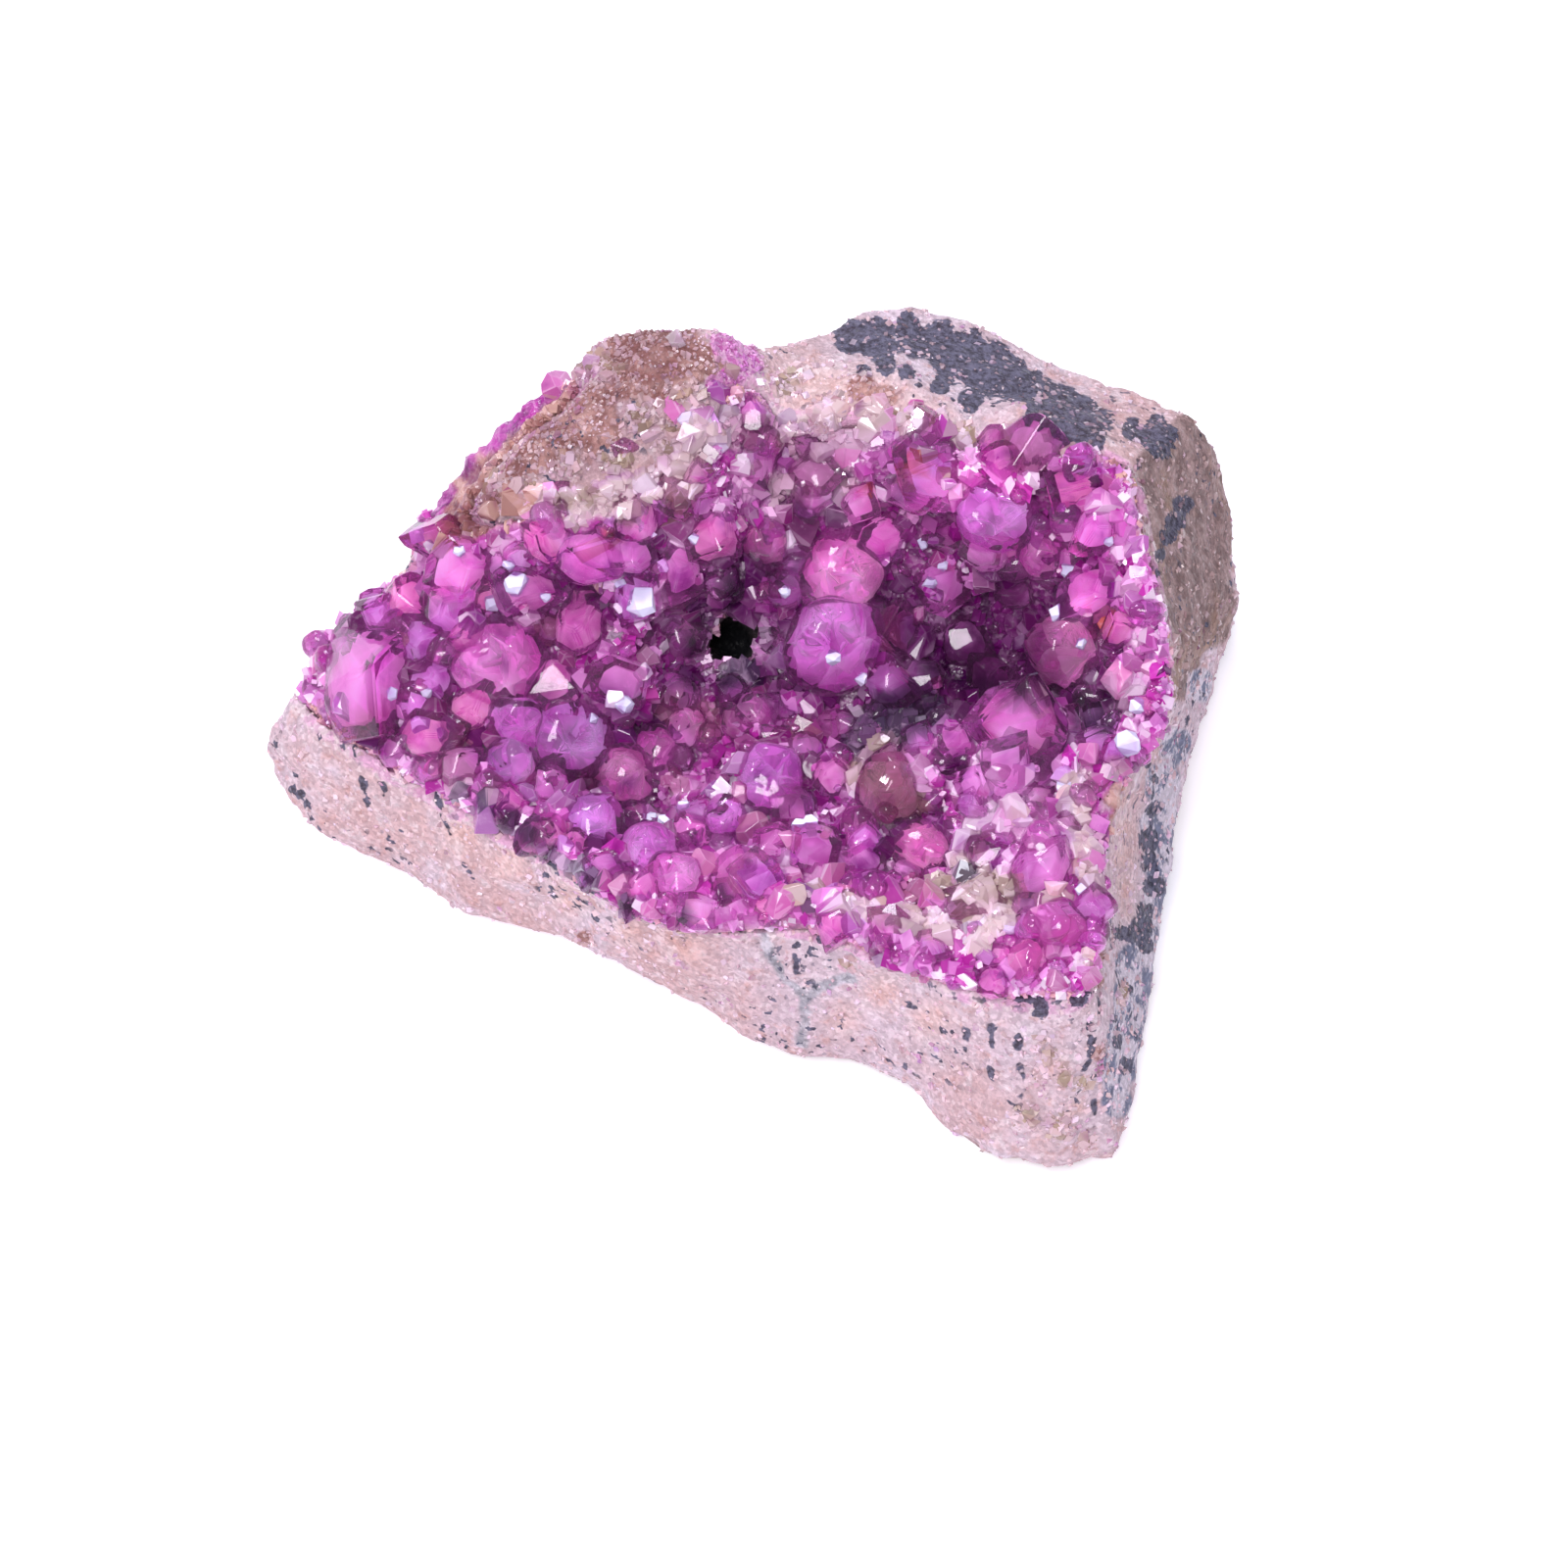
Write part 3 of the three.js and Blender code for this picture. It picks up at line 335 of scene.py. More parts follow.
OLIVE_CRUST = [
    (915, 812, 24), (893, 800, 16), (905, 785, 14), (935, 820, 14), (875, 790, 12), (960, 905, 14),
    (985, 885, 10), (1000, 900, 18), (1030, 910, 16), (985, 930, 12), (600, 505, 12), (575, 512, 12),
    (690, 515, 12), (640, 530, 9), (900, 760, 10),
]
BROWNISH = [
    (372, 738, 16), (470, 752, 14), (540, 790, 10), (935, 905, 16), (720, 735, 22), (680, 720, 18),
    (905, 640, 16), (560, 640, 12), (1125, 640, 14), (600, 800, 14), (690, 800, 14), (820, 750, 16),
]
# The pit in the rock, whose surface is painted near black as painted shade.
HOLE = [(748, 655, 34)]
# Painted shadow: near black in the mouth of the pit and in the recess under the overhanging crystals.
DEEPEST_SHADOW = [
    (748, 602, 22), (715, 630, 16), (782, 645, 14), (708, 660, 14), (735, 700, 14), (775, 695, 14),
    (980, 695, 18), (1010, 700, 18), (1040, 705, 18), (1070, 710, 18), (1100, 712, 16), (1130, 715, 14),
    (950, 685, 16), (700, 690, 12),
]
DARK_SPOTS = [(512, 677, 14), (582, 751, 14), (1012, 530, 8), (640, 800, 10)]
PALE_CRUST = [
    (1040, 728, 26), (1030, 750, 18), (1010, 790, 20), (1040, 805, 22), (1012, 830, 22), (985, 850, 18),
    (1050, 850, 24), (1080, 855, 22), (1075, 890, 16), (1020, 890, 20), (1000, 770, 14), (975, 800, 11),
    (455, 575, 18), (480, 590, 16), (450, 600, 14), (510, 560, 14), (570, 545, 14), (600, 555, 14),
    (640, 560, 14), (620, 590, 14), (690, 560, 12), (1150, 600, 12), (1160, 650, 12), (1158, 700, 12),
    (1165, 740, 13), (1140, 560, 12), (1125, 520, 12), (1110, 480, 10), (690, 925, 12), (720, 925, 13),
    (750, 905, 13), (742, 880, 11), (768, 870, 11), (800, 880, 14), (830, 890, 13), (760, 500, 16),
    (790, 520, 14), (730, 520, 12), (840, 510, 14), (870, 520, 13), (905, 500, 11), (930, 520, 11),
    (980, 500, 12), (350, 660, 12), (395, 670, 12), (372, 703, 26), (634, 690, 24), (670, 610, 14),
    (540, 630, 12), (820, 840, 14), (870, 870, 13), (915, 880, 12), (330, 690, 12), (1105, 620, 12),
    (950, 500, 20), (860, 590, 20),
]
ROCKY_CRUST = [
    (466, 526, 20), (482, 504, 22), (502, 482, 23), (523, 460, 22), (545, 440, 20), (566, 420, 18),
    (588, 404, 15), (506, 516, 20), (488, 532, 16), (532, 510, 16), (458, 548, 12), (604, 386, 9),
    (1140, 812, 15), (1143, 842, 17), (1146, 873, 17), (1148, 904, 15),
]
BEIGE_CRUST = [
    (560, 515, 18), (590, 518, 20), (620, 512, 20), (650, 500, 20), (680, 490, 20), (705, 470, 20),
    (715, 440, 18), (640, 528, 14), (700, 500, 12), (845, 420, 16), (890, 425, 16), (930, 430, 14),
    (965, 935, 16), (1000, 935, 18), (925, 935, 14), (985, 910, 14), (1000, 960, 12), (1010, 905, 18),
    (1095, 800, 13), (1098, 828, 14), (1104, 858, 13), (1110, 890, 12), (862, 922, 14), (892, 930, 15),
    (1030, 905, 16), (1030, 930, 16), (1010, 940, 16), (1000, 880, 14), (960, 900, 10), (950, 950, 12),
    (1105, 980, 9), (985, 880, 12), (815, 915, 8), (760, 470, 10), (800, 450, 12), (985, 445, 8),
]


def smoothstep(low, high, x):
    t = np.clip((x - low) / (high - low), 0, 1)
    return t * t * (3 - 2 * t)


def unit(vectors):
    return vectors / np.linalg.norm(vectors, axis=-1, keepdims=True)


# Repeatable noise

WORD = 0xFFFFFFFF
FAR = 9.0  # further off than any share that matters


def cell_share(cells, seed):
    """A random share from 0 to 1 for each whole-number cell, by a hash of its numbers."""
    i, j, k = (cells[..., n].astype(np.int64).astype(np.uint32) for n in range(3))
    h = i * np.uint32(0x8DA6B343) ^ j * np.uint32(0xD8163841) ^ k * np.uint32(0xCB1AB31F)
    h = h ^ np.uint32((seed * 0x165667B1) & WORD)
    h = (h ^ (h >> np.uint32(13))) * np.uint32(0x5BD1E995)
    h = (h ^ (h >> np.uint32(15))) * np.uint32(0x27D4EB2D)
    h = h ^ (h >> np.uint32(13))
    return h / float(WORD)


def soft_noise(points, size, seed):
    """Smooth noise from -1 to 1 whose lumps are about size across."""
    scaled = points / size
    low = np.floor(scaled)
    share = smoothstep(0, 1, scaled - low)
    total = np.zeros(len(points))
    for step in np.ndindex(2, 2, 2):
        weight = np.prod(np.where(step[::-1], share, 1 - share), axis=1)
        total += weight * cell_share(low + step[::-1], seed)
    return 2 * total - 1


def cell_noise(points, size, seed):
    """Distances to the nearest and next cell centres, over size, and a share for the nearest."""
    scaled = points / size
    low = np.floor(scaled)
    nearest = np.full(len(points), FAR)
    second = nearest.copy()
    share = np.zeros(len(points))
    for step in np.ndindex(3, 3, 3):
        cell = low + np.array(step) - 1
        centre = cell + np.stack([cell_share(cell, seed + n) for n in range(3)], axis=1)
        distance = np.linalg.norm(scaled - centre, axis=1)
        closer = distance < nearest
        second = np.where(closer, nearest, np.minimum(second, distance))
        share = np.where(closer, cell_share(cell, seed + 7), share)
        nearest = np.where(closer, distance, nearest)
    return nearest, second, share


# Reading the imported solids

def gathered(things, label, each=3, kind=float):
    """The numbers under a label of all of a mesh's points, triangles or corners, with a row for each."""
    numbers = np.empty(len(things) * each, dtype=kind)
    things.foreach_get(label, numbers)
    return numbers.reshape(-1, each)


def node_solid(name):
    """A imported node's points and triangles."""
    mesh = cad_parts[name].data
    mesh.calc_loop_triangles()
    return gathered(mesh.vertices, "co") / MM, gathered(mesh.loop_triangles, "vertices", kind=np.int32)


def surface_tree(*solids):
    """A tree to look at solids along rays, and to measure to them."""
    starts = np.cumsum([0] + [len(points) for points, _ in solids])
    points = np.concatenate([points for points, _ in solids])
    faces = np.concatenate([faces + start for (_, faces), start in zip(solids, starts)])
    return BVHTree.FromPolygons([Vector(p) for p in points], [tuple(f) for f in faces.tolist()])


def surface_distance(tree, points):
    return np.array([tree.find_nearest(Vector(p))[3] for p in points])


def point_tree(points):
    tree = KDTree(len(points))
    for n, point in enumerate(points):
        tree.insert(point, n)
    tree.balance()
    return tree


def point_distance(tree, points):
    return np.array([tree.find(p)[2] for p in points])


def sight_line(px, py):
    line = PIXELS_PER_RADIAN * FORWARD + (px - PICTURE_CENTRE) * RIGHTWARD
    return unit(line + (PICTURE_CENTRE - py) * UPWARD)


def seen_on(tree, px, py):
    """The place and normal of the first surface that the picture shows at a pixel, if any."""
    place, normal, _, _ = tree.ray_cast(Vector(EYE), Vector(sight_line(px, py)))
    if place is None:
        return None
    return np.array(place), np.array(normal)


def picture_place(points):
    """The pixels at which the picture shows points."""
    away = points - EYE
    scale = PIXELS_PER_RADIAN / (away @ FORWARD)
    return PICTURE_CENTRE + away @ RIGHTWARD * scale, PICTURE_CENTRE - away @ UPWARD * scale


MARK_END = 1.4  # how many of its radii a mark fades out at
LINE_STEP = 3  # pixels between the places looked up along a line


def mark_strength(points, tree, blobs, core=0.5, depth=3.0):
    """How strongly each point lies in round marks placed on the surface that the picture shows.
    A mark is round in the picture, has its full strength within core times its radius, and reaches
    depth times its radius along the line of sight."""
    strength = np.zeros(len(points))
    px, py = picture_place(points)
    for x, y, radius in blobs:
        reach = MARK_END * radius
        close = np.flatnonzero((np.abs(px - x) < reach) & (np.abs(py - y) < reach))
        spot = seen_on(tree, x, y)
        if spot is None or not len(close):
            continue
        across = np.hypot(px[close] - x, py[close] - y) / radius
        along = np.linalg.norm(points[close] - spot[0], axis=1) * PIXELS_PER_MM / radius
        near = (1 - smoothstep(core, MARK_END, across)) * (1 - smoothstep(depth, MARK_END * depth, along))
        strength[close] = 1 - (1 - strength[close]) * (1 - near)
    return strength


def line_distance(points, tree, lines, reach):
    """The distance from each point to the nearest of some lines drawn on the surface."""
    spots = []
    for line in lines:
        for (ax, ay), (bx, by) in zip(line, line[1:]):
            count = max(2, int(math.hypot(bx - ax, by - ay) / LINE_STEP))
            for share in np.linspace(0, 1, count):
                spot = seen_on(tree, ax + share * (bx - ax), ay + share * (by - ay))
                if spot is not None:
                    spots.append(spot[0])
    return np.minimum(reach, point_distance(point_tree(spots), points))


# Making meshes

def make_piece(name, points, faces, material, smooth=True, values=None, tint=None, tint_on="POINT"):
    """A piece from points in millimetres and faces that all have the same number of corners."""
    points = np.clip(points, np.array(cad_lowest) / MM, np.array(cad_highest) / MM)
    corners = faces.shape[1]
    mesh = bpy.data.meshes.new(name)
    mesh.vertices.add(len(points))
    mesh.vertices.foreach_set("co", (points * MM).ravel())
    mesh.loops.add(faces.size)
    mesh.loops.foreach_set("vertex_index", faces.ravel().astype(np.int32))
    mesh.polygons.add(len(faces))
    mesh.polygons.foreach_set("loop_start", np.arange(0, faces.size, corners, dtype=np.int32))
    mesh.polygons.foreach_set("use_smooth", np.full(len(faces), smooth))
    mesh.update(calc_edges=True)
    for label, numbers in (values or {}).items():
        attribute = mesh.attributes.new(label, "FLOAT", "POINT")
        attribute.data.foreach_set("value", numbers.astype(np.float32))
    if tint is not None:
        attribute = mesh.attributes.new("tint", "FLOAT_COLOR", tint_on)
        opaque = np.concatenate([np.clip(tint, 0, 1), np.ones((len(tint), 1))], axis=1)
        attribute.data.foreach_set("color", opaque.ravel().astype(np.float32))
    piece = bpy.data.objects.new(name, mesh)
    bpy.context.scene.collection.objects.link(piece)
    mesh.materials.append(material)
    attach(piece, "root")
    return piece


def fine_copy(node, voxel, smoothing):
    """The node's surface as a fine even mesh: points, normals and four-cornered faces."""
    copy = bpy.data.objects.new("fine_copy", node.data.copy())
    bpy.context.scene.collection.objects.link(copy)
    remesh = copy.modifiers.new("remesh", "REMESH")
    remesh.mode = "VOXEL"
    remesh.voxel_size = voxel * MM
    smooth = copy.modifiers.new("smooth", "SMOOTH")
    smooth.factor = 0.5
    smooth.iterations = smoothing
    bpy.context.view_layer.update()
    mesh = bpy.data.meshes.new_from_object(copy.evaluated_get(bpy.context.evaluated_depsgraph_get()))
    bpy.data.objects.remove(copy)
    corners = gathered(mesh.loops, "vertex_index", 1, np.int32).reshape(-1, 4)
    return gathered(mesh.vertices, "co") / MM, gathered(mesh.vertices, "normal"), corners


# Materials

DUSK = (0.62, 0.52, 0.54)  # what the rock is dimmed by in its dusky patches


class Shader:
    """One material's node tree."""

    def __init__(self, name):
        self.material = bpy.data.materials.new(name)
        self.material.use_nodes = True
        self.tree = self.material.node_tree
        self.surface = self.tree.nodes["Principled BSDF"]
        self.place = self.put("ShaderNodeTexCoord").outputs["Object"]

    def put(self, kind, inputs=None, **settings):
        node = self.tree.nodes.new(kind)
        for label, value in settings.items():
            setattr(node, label, value)
        for label, value in (inputs or {}).items():
            self.feed(node.inputs[label], value)
        return node

    def feed(self, socket, value):
        if isinstance(value, bpy.types.NodeSocket):
            self.tree.links.new(value, socket)
        elif hasattr(value, "__len__") and len(value) == 3 and socket.type == "RGBA":
            socket.default_value = (*value, 1)
        else:
            socket.default_value = value

    def set(self, **values):
        for label, value in values.items():
            self.feed(self.surface.inputs[label.replace("_", " ")], value)

    def attribute(self, label, output="Fac"):
        return self.put("ShaderNodeAttribute", attribute_name=label).outputs[output]

    def noise(self, size, detail=3, roughness=0.6, distortion=0.0):
        """Noise from 0 to 1 whose lumps are about size millimetres across."""
        inputs = {"Vector": self.place, "Scale": 0.5 / (size * MM), "Detail": detail,
                  "Roughness": roughness, "Distortion": distortion}
        return self.put("ShaderNodeTexNoise", inputs).outputs["Fac"]

    def cells(self, size, output="Distance"):
        inputs = {"Vector": self.place, "Scale": 1 / (size * MM)}
        return self.put("ShaderNodeTexVoronoi", inputs).outputs[output]

    def sugar(self, size):
        """Three random shares for each of many small grains."""
        return self.put("ShaderNodeSeparateColor", {"Color": self.cells(size, "Color")}).outputs

    def math(self, operation, a, b):
        node = self.put("ShaderNodeMath", operation=operation)
        self.feed(node.inputs[0], a)
        self.feed(node.inputs[1], b)
        return node.outputs[0]

    def times(self, a, b):
        return self.math("MULTIPLY", a, b)

    def band(self, value, low, high, start=0.0, end=1.0):
        """A smooth step from start to end as value goes from low to high."""
        inputs = {"Value": value, "From Min": low, "From Max": high, "To Min": start, "To Max": end}
        return self.put("ShaderNodeMapRange", inputs, interpolation_type="SMOOTHSTEP").outputs[0]

    def mix(self, share, a, b, blend="MIX"):
        """Two colours mixed. This node's inputs 6 and 7 and output 2 are the ones for colours."""
        node = self.put("ShaderNodeMix", data_type="RGBA", blend_type=blend, clamp_factor=True)
        self.feed(node.inputs["Factor"], share)
        self.feed(node.inputs[6], a)
        self.feed(node.inputs[7], b)
        return node.outputs[2]

    def tones(self, value, low, high, first, second):
        """A colour that goes from the first to the second as value goes from low to high."""
        return self.mix(self.band(value, low, high), first, second)

    def dimmed(self, colour, by):
        return self.mix(1.0, colour, by, "MULTIPLY")

    def raggedly(self, strength, noise, width=0.1, reach=0.9):
        """A mark's share with a ragged edge: its strength is shifted by noise, then cut off."""
        shift = self.times(self.math("SUBTRACT", noise, 0.5), reach)
        return self.band(self.math("ADD", strength, shift), 0.5 - width, 0.5 + width)

    def bump(self, height, depth, below=None):
        """Bump of the given depth in millimetres from a height of 0 to 1."""
        inputs = {"Height": height, "Distance": depth * MM, "Strength": 1.0}
        if below is not None:
            inputs["Normal"] = below
        return self.put("ShaderNodeBump", inputs).outputs[0]


def rock_material():
    s = Shader("sugary salmon rock")
    patchy = s.noise(2.2, 4)
    blotchy = s.noise(0.9, 4, 0.7)
    fine = s.noise(0.7, 4, 0.65)
    grain = s.noise(0.2, 3, 0.7)
    halfway = s.times(s.math("ADD", fine, patchy), 0.5)
    sugar = s.sugar(ROCK_SUGAR)
    colour = s.tones(s.noise(8, 3), 0.38, 0.62, (0.56, 0.37, 0.39), (0.57, 0.44, 0.51))
    colour = s.mix(s.band(patchy, 0.48, 0.72), colour, (0.64, 0.52, 0.61))
    colour = s.mix(s.band(fine, 0.52, 0.72, 0, 0.7), colour, (0.52, 0.28, 0.26))
    colour = s.mix(s.band(fine, 0.46, 0.32, 0, 0.5), colour, (0.70, 0.61, 0.67))
    salmon = s.times(s.attribute("salmon"), s.band(patchy, 0.4, 0.6, 0.75, 1))
    colour = s.mix(salmon, colour, s.tones(fine, 0.4, 0.6, (0.68, 0.47, 0.46), (0.64, 0.39, 0.37)))
    brown = s.tones(fine, 0.38, 0.66, (0.24, 0.09, 0.08), (0.46, 0.26, 0.24))
    taupe = s.tones(fine, 0.38, 0.66, (0.19, 0.12, 0.12), (0.38, 0.26, 0.26))
    rusty = s.band(patchy, 0.5, 0.68, 0, 0.5)
    mottled = s.tones(blotchy, 0.47, 0.55, (0.60, 0.53, 0.62), (0.17, 0.18, 0.27))
    # Each mark's colour, greatest share, and the noise, width and reach of its ragged edge
    marks = {
        "brown": (brown, 0.92, patchy, 0.22, 0.9),
        "taupe": (s.mix(rusty, taupe, (0.40, 0.25, 0.17)), 1, patchy, 0.25, 0.9),
        "mottled": (mottled, 1, patchy, 0.2, 0.9),
        "pale": (s.tones(sugar[1], 0.1, 0.7, (0.48, 0.33, 0.37), (0.66, 0.52, 0.57)), 0.8, fine, 0.15, 1.2),
        "rim": (s.tones(fine, 0.42, 0.6, (0.62, 0.30, 0.50), (0.66, 0.54, 0.58)), 0.75, halfway, 0.12, 2.0),
        "lilac": (s.tones(sugar[1], 0.1, 0.8, (0.24, 0.17, 0.24), (0.56, 0.50, 0.64)), 1, fine, 0.15, 1.0),
        "pink": (s.tones(sugar[1], 0.2, 0.9, (0.45, 0.10, 0.34), (0.72, 0.40, 0.62)), 1, fine, 0.15, 1.2),
    }
    shares = {}
    for mark, (tones, most, noise, width, reach) in marks.items():
        shares[mark] = s.raggedly(s.attribute(mark), noise, width, reach)
        colour = s.mix(s.times(shares[mark], most), colour, tones)
    vein = s.band(s.math("SUBTRACT", s.attribute("vein"), s.times(blotchy, 0.9)), 0.1, -0.25)
    vein_colour = s.tones(fine, 0.4, 0.6, (0.22, 0.23, 0.27), (0.56, 0.54, 0.62))
    colour = s.mix(s.times(vein, 0.8), colour, vein_colour)
    dusky = s.times(s.attribute("dusky"), s.band(shares["pale"], 0, 1, 1, 0.3))
    colour = s.mix(dusky, colour, s.dimmed(colour, DUSK))
    light = s.times(s.band(sugar[0], 0, 1, 0.84, 1.12), s.band(grain, 0.3, 0.7, 0.86, 1.10))
    shade = s.put("ShaderNodeCombineColor", {"Red": light, "Green": light, "Blue": light}).outputs[0]
    colour = s.dimmed(colour, shade)
    glints = s.times(s.band(sugar[0], 0.90, 0.94, 0, 0.2), s.band(shares["taupe"], 1, 0))
    colour = s.mix(glints, colour, (0.86, 0.78, 0.82))
    specks = s.times(s.band(s.noise(0.34, 2, 0.5), 0.61, 0.65), s.band(s.noise(3.0, 2), 0.46, 0.58))
    width = s.times(s.band(s.noise(0.7, 2), 0.40, 0.62), 0.36)
    crack = s.band(s.math("SUBTRACT", s.attribute("crack"), width), 0.05, -0.08)
    ragged = s.times(s.math("ADD", s.noise(0.28, 2, 0.5), s.noise(1.3, 2, 0.5)), 0.5)
    stain = s.raggedly(s.times(s.attribute("stain"), 2.6), ragged, 0.12, 5.0)
    stain = s.times(stain, s.band(s.attribute("stain"), 0.02, 0.2))
    black = s.times(s.math("MAXIMUM", specks, s.math("MAXIMUM", crack, stain)), 0.93)
    colour = s.mix(black, colour, s.tones(grain, 0.35, 0.65, (0.02, 0.02, 0.04), (0.11, 0.11, 0.18)))
    # Painted shade: the pit is painted near black.
    colour = s.mix(s.attribute("hole"), colour, (0.002, 0.002, 0.004))
    bumps = s.bump(grain, 0.10, s.bump(s.cells(ROCK_SUGAR), 0.05))
    s.set(Base_Color=colour, Roughness=s.band(sugar[2], 0.6, 1, 0.8, 0.4), IOR=1.45, Specular_IOR_Level=0.25,
          Normal=s.bump(fine, 0.22, bumps))
    return s.material


def calcite_shader(name, roughness, transmission, glow, waviness=0.02):
    """Calcite whose tint is held by the points, with clouds and veils running through it. The glow
    stands for light that enters between the crystals and scatters about inside them."""
    s = Shader(name)
    tint = s.attribute("tint", "Color")
    clouds = s.noise(1.3, 3, 0.55, 0.5)
    veils = s.noise(0.45, 3, 0.6, 1.5)
    pale = s.mix(0.5, tint, (0.90, 0.60, 0.88))
    colour = s.mix(s.band(clouds, 0.50, 0.75, 0, 0.6), tint, pale)
    colour = s.mix(s.band(veils, 0.60, 0.72, 0, 0.45), colour, pale)
    colour = s.mix(s.band(clouds, 0.48, 0.26, 0, 0.7), colour, s.dimmed(tint, (0.55, 0.20, 0.60)))
    s.set(Base_Color=colour, Emission_Color=colour, Emission_Strength=glow, IOR=1.45,
          Transmission_Weight=transmission, Roughness=s.band(veils, 0.45, 0.75, roughness, roughness + 0.12))
    if waviness:
        s.set(Normal=s.bump(s.noise(0.5, 2, 0.5), waviness))
    s.material.cycles.emission_sampling = "NONE"  # too weak a glow to light anything else
    return s


def clear_calcite(name, roughness, transmission, glow, density):
    s = calcite_shader(name, roughness, transmission, glow)
    absorption = s.put("ShaderNodeVolumeAbsorption", {"Color": (0.93, 0.15, 0.88), "Density": density})
    s.tree.links.new(absorption.outputs[0], s.tree.nodes["Material Output"].inputs["Volume"])
    return s.material


def druse_material():
    s = Shader("druse between the crystals")
    tint = s.attribute("tint", "Color")
    sugar = s.sugar(DRUSE_SUGAR)
    clouds = s.noise(0.8, 4, 0.65, 0.5)
    colour = s.mix(s.band(sugar[0], 0.4, 1.0, 0, 0.35), tint, s.mix(0.4, tint, (0.92, 0.68, 0.86)))
    colour = s.mix(s.band(clouds, 0.56, 0.36, 0, 0.9), colour, s.dimmed(tint, (0.35, 0.12, 0.38)))
    bumps = s.bump(s.cells(DRUSE_SUGAR), 0.06, s.bump(s.noise(0.2, 3), 0.06))
    # The druse glows a little: painted light, standing for light scattered about inside it.
    s.set(Base_Color=colour, Emission_Color=colour, Emission_Strength=0.10, IOR=1.6,
          Roughness=s.band(sugar[1], 0, 1, 0.2, 0.5), Normal=bumps)
    s.material.cycles.emission_sampling = "NONE"
    return s.material


# The host rock

rock_solid = node_solid("host_rock")
crust_solid = node_solid("crystal_crust")
rock_tree = surface_tree(rock_solid)
crust_tree = surface_tree(crust_solid)
whole_tree = surface_tree(rock_solid, crust_solid)


def bare_rock(points, normals):
    """The rock's points that the crust doesn't cover, as a tree to measure to."""
    bare = []
    for point, normal in zip(points, normals):
        outward = Vector(normal)
        if crust_tree.ray_cast(Vector(point) + 0.05 * outward, outward, COVER_REACH)[0] is None:
            bare.append(point)
    return point_tree(bare)


def build_rock():
    points, normals, faces = fine_copy(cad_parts["host_rock"], ROCK_VOXEL, ROCK_SMOOTHING)
    unseen = smoothstep(0.15, -0.1, normals @ TO_VIEWER)
    stain = mark_strength(points, rock_tree, BLACK_STAINS, -0.1)
    taupe = mark_strength(points, rock_tree, TAUPE_TINTS)
    stain = np.maximum(stain, 0.24 * unseen * smoothstep(0.0, 0.7, soft_noise(points, 7, SEED + 21)))
    taupe = np.maximum(taupe, unseen * smoothstep(-0.4, 0.3, soft_noise(points, 13, SEED + 20)))
    hole = mark_strength(points, rock_tree, HOLE)
    relief = sum(height * soft_noise(points, size, SEED + n) for n, (size, height) in enumerate(ROCK_LUMPS))
    for n, (size, height, edge) in enumerate(ROCK_CHIPS):
        near, second, share = cell_noise(points, size, SEED + 2 + n)
        relief += height * (share - 0.5) * smoothstep(0.0, edge, second - near)
    relief *= smoothstep(*FOOT_BAND, points[:, 2]) * (1 - hole)
    points = points + relief[:, None] * normals
    marks = {
        "rim": smoothstep(*RIM_BAND, surface_distance(crust_tree, points)),
        "stain": stain,
        "taupe": taupe,
        "hole": hole,
        "dusky": mark_strength(points, rock_tree, DUSKY, -0.2),
        "mottled": mark_strength(points, rock_tree, MOTTLED),
        "brown": mark_strength(points, rock_tree, BROWN_TINTS),
        "pale": mark_strength(points, rock_tree, PALE_TINTS),
        "salmon": mark_strength(points, rock_tree, SALMON_TINTS, -0.2),
        "lilac": mark_strength(points, rock_tree, LILAC_DRUSE),
        "pink": mark_strength(points, rock_tree, PINK_DRUSE),
        "vein": line_distance(points, rock_tree, VEINS, LINE_REACH),
        "crack": line_distance(points, rock_tree, CRACKS, LINE_REACH),
    }
    piece = make_piece("rock_surface", points, faces, rock_material(), values=marks)
    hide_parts("host_rock")
    return {"points": points, "normals": normals, "marks": marks, "bare": bare_rock(points, normals)}


# Colours of the crust

MAGENTA = np.array((0.40, 0.025, 0.30))
PALE_PINK = np.array((0.70, 0.31, 0.66))
SHADE_PURPLE = np.array((0.075, 0.001, 0.070))
SHADOW_BLACK = np.array((0.012, 0.002, 0.022))
GREY = np.array((0.45, 0.30, 0.37))
BEIGE = np.array((0.56, 0.42, 0.44))
SALMON = np.array((0.52, 0.30, 0.26))
BROWN = np.array((0.30, 0.13, 0.11))
SHELL = np.array((0.96, 0.45, 0.90))
MILK = np.array((0.70, 0.64, 0.70))
OLIVE = np.array((0.30, 0.21, 0.17))
CORE_PINK = np.array((0.46, 0.09, 0.38))
SHADE = np.array((0.22, 0.05, 0.22))
DARK = np.array((0.06, 0.05, 0.09))
RUST = np.array((0.40, 0.08, 0.04))
WHITE = np.array((0.82, 0.66, 0.82))
MIRRORED_SKY = np.array((0.58, 0.56, 0.76))

# Colours of the grains on the rock
GRAIN_SALMON = np.array((0.60, 0.42, 0.45))
GRAIN_OLIVE = np.array((0.38, 0.28, 0.22))
GRAIN_BROWN = np.array((0.35, 0.17, 0.14))
GRAIN_TAUPE = np.array((0.34, 0.23, 0.22))


def blended(a, b, share):
    share = np.reshape(share, (-1, 1))
    return a * (1 - share) + b * share


def pinks(share):
    """Tints from magenta at a share of 0 to pale pink at 1."""
    return blended(MAGENTA, PALE_PINK, np.clip(share, 0, 1))


def painted_gap_shade(tint, sky, most=0.92, open_sky=0.85, little_sky=0.25):
    """Painted shade: takes tints towards purple where little of the sky is seen, as between deep crystals.
    """
    return blended(tint, SHADE_PURPLE, most * smoothstep(open_sky, little_sky, sky))


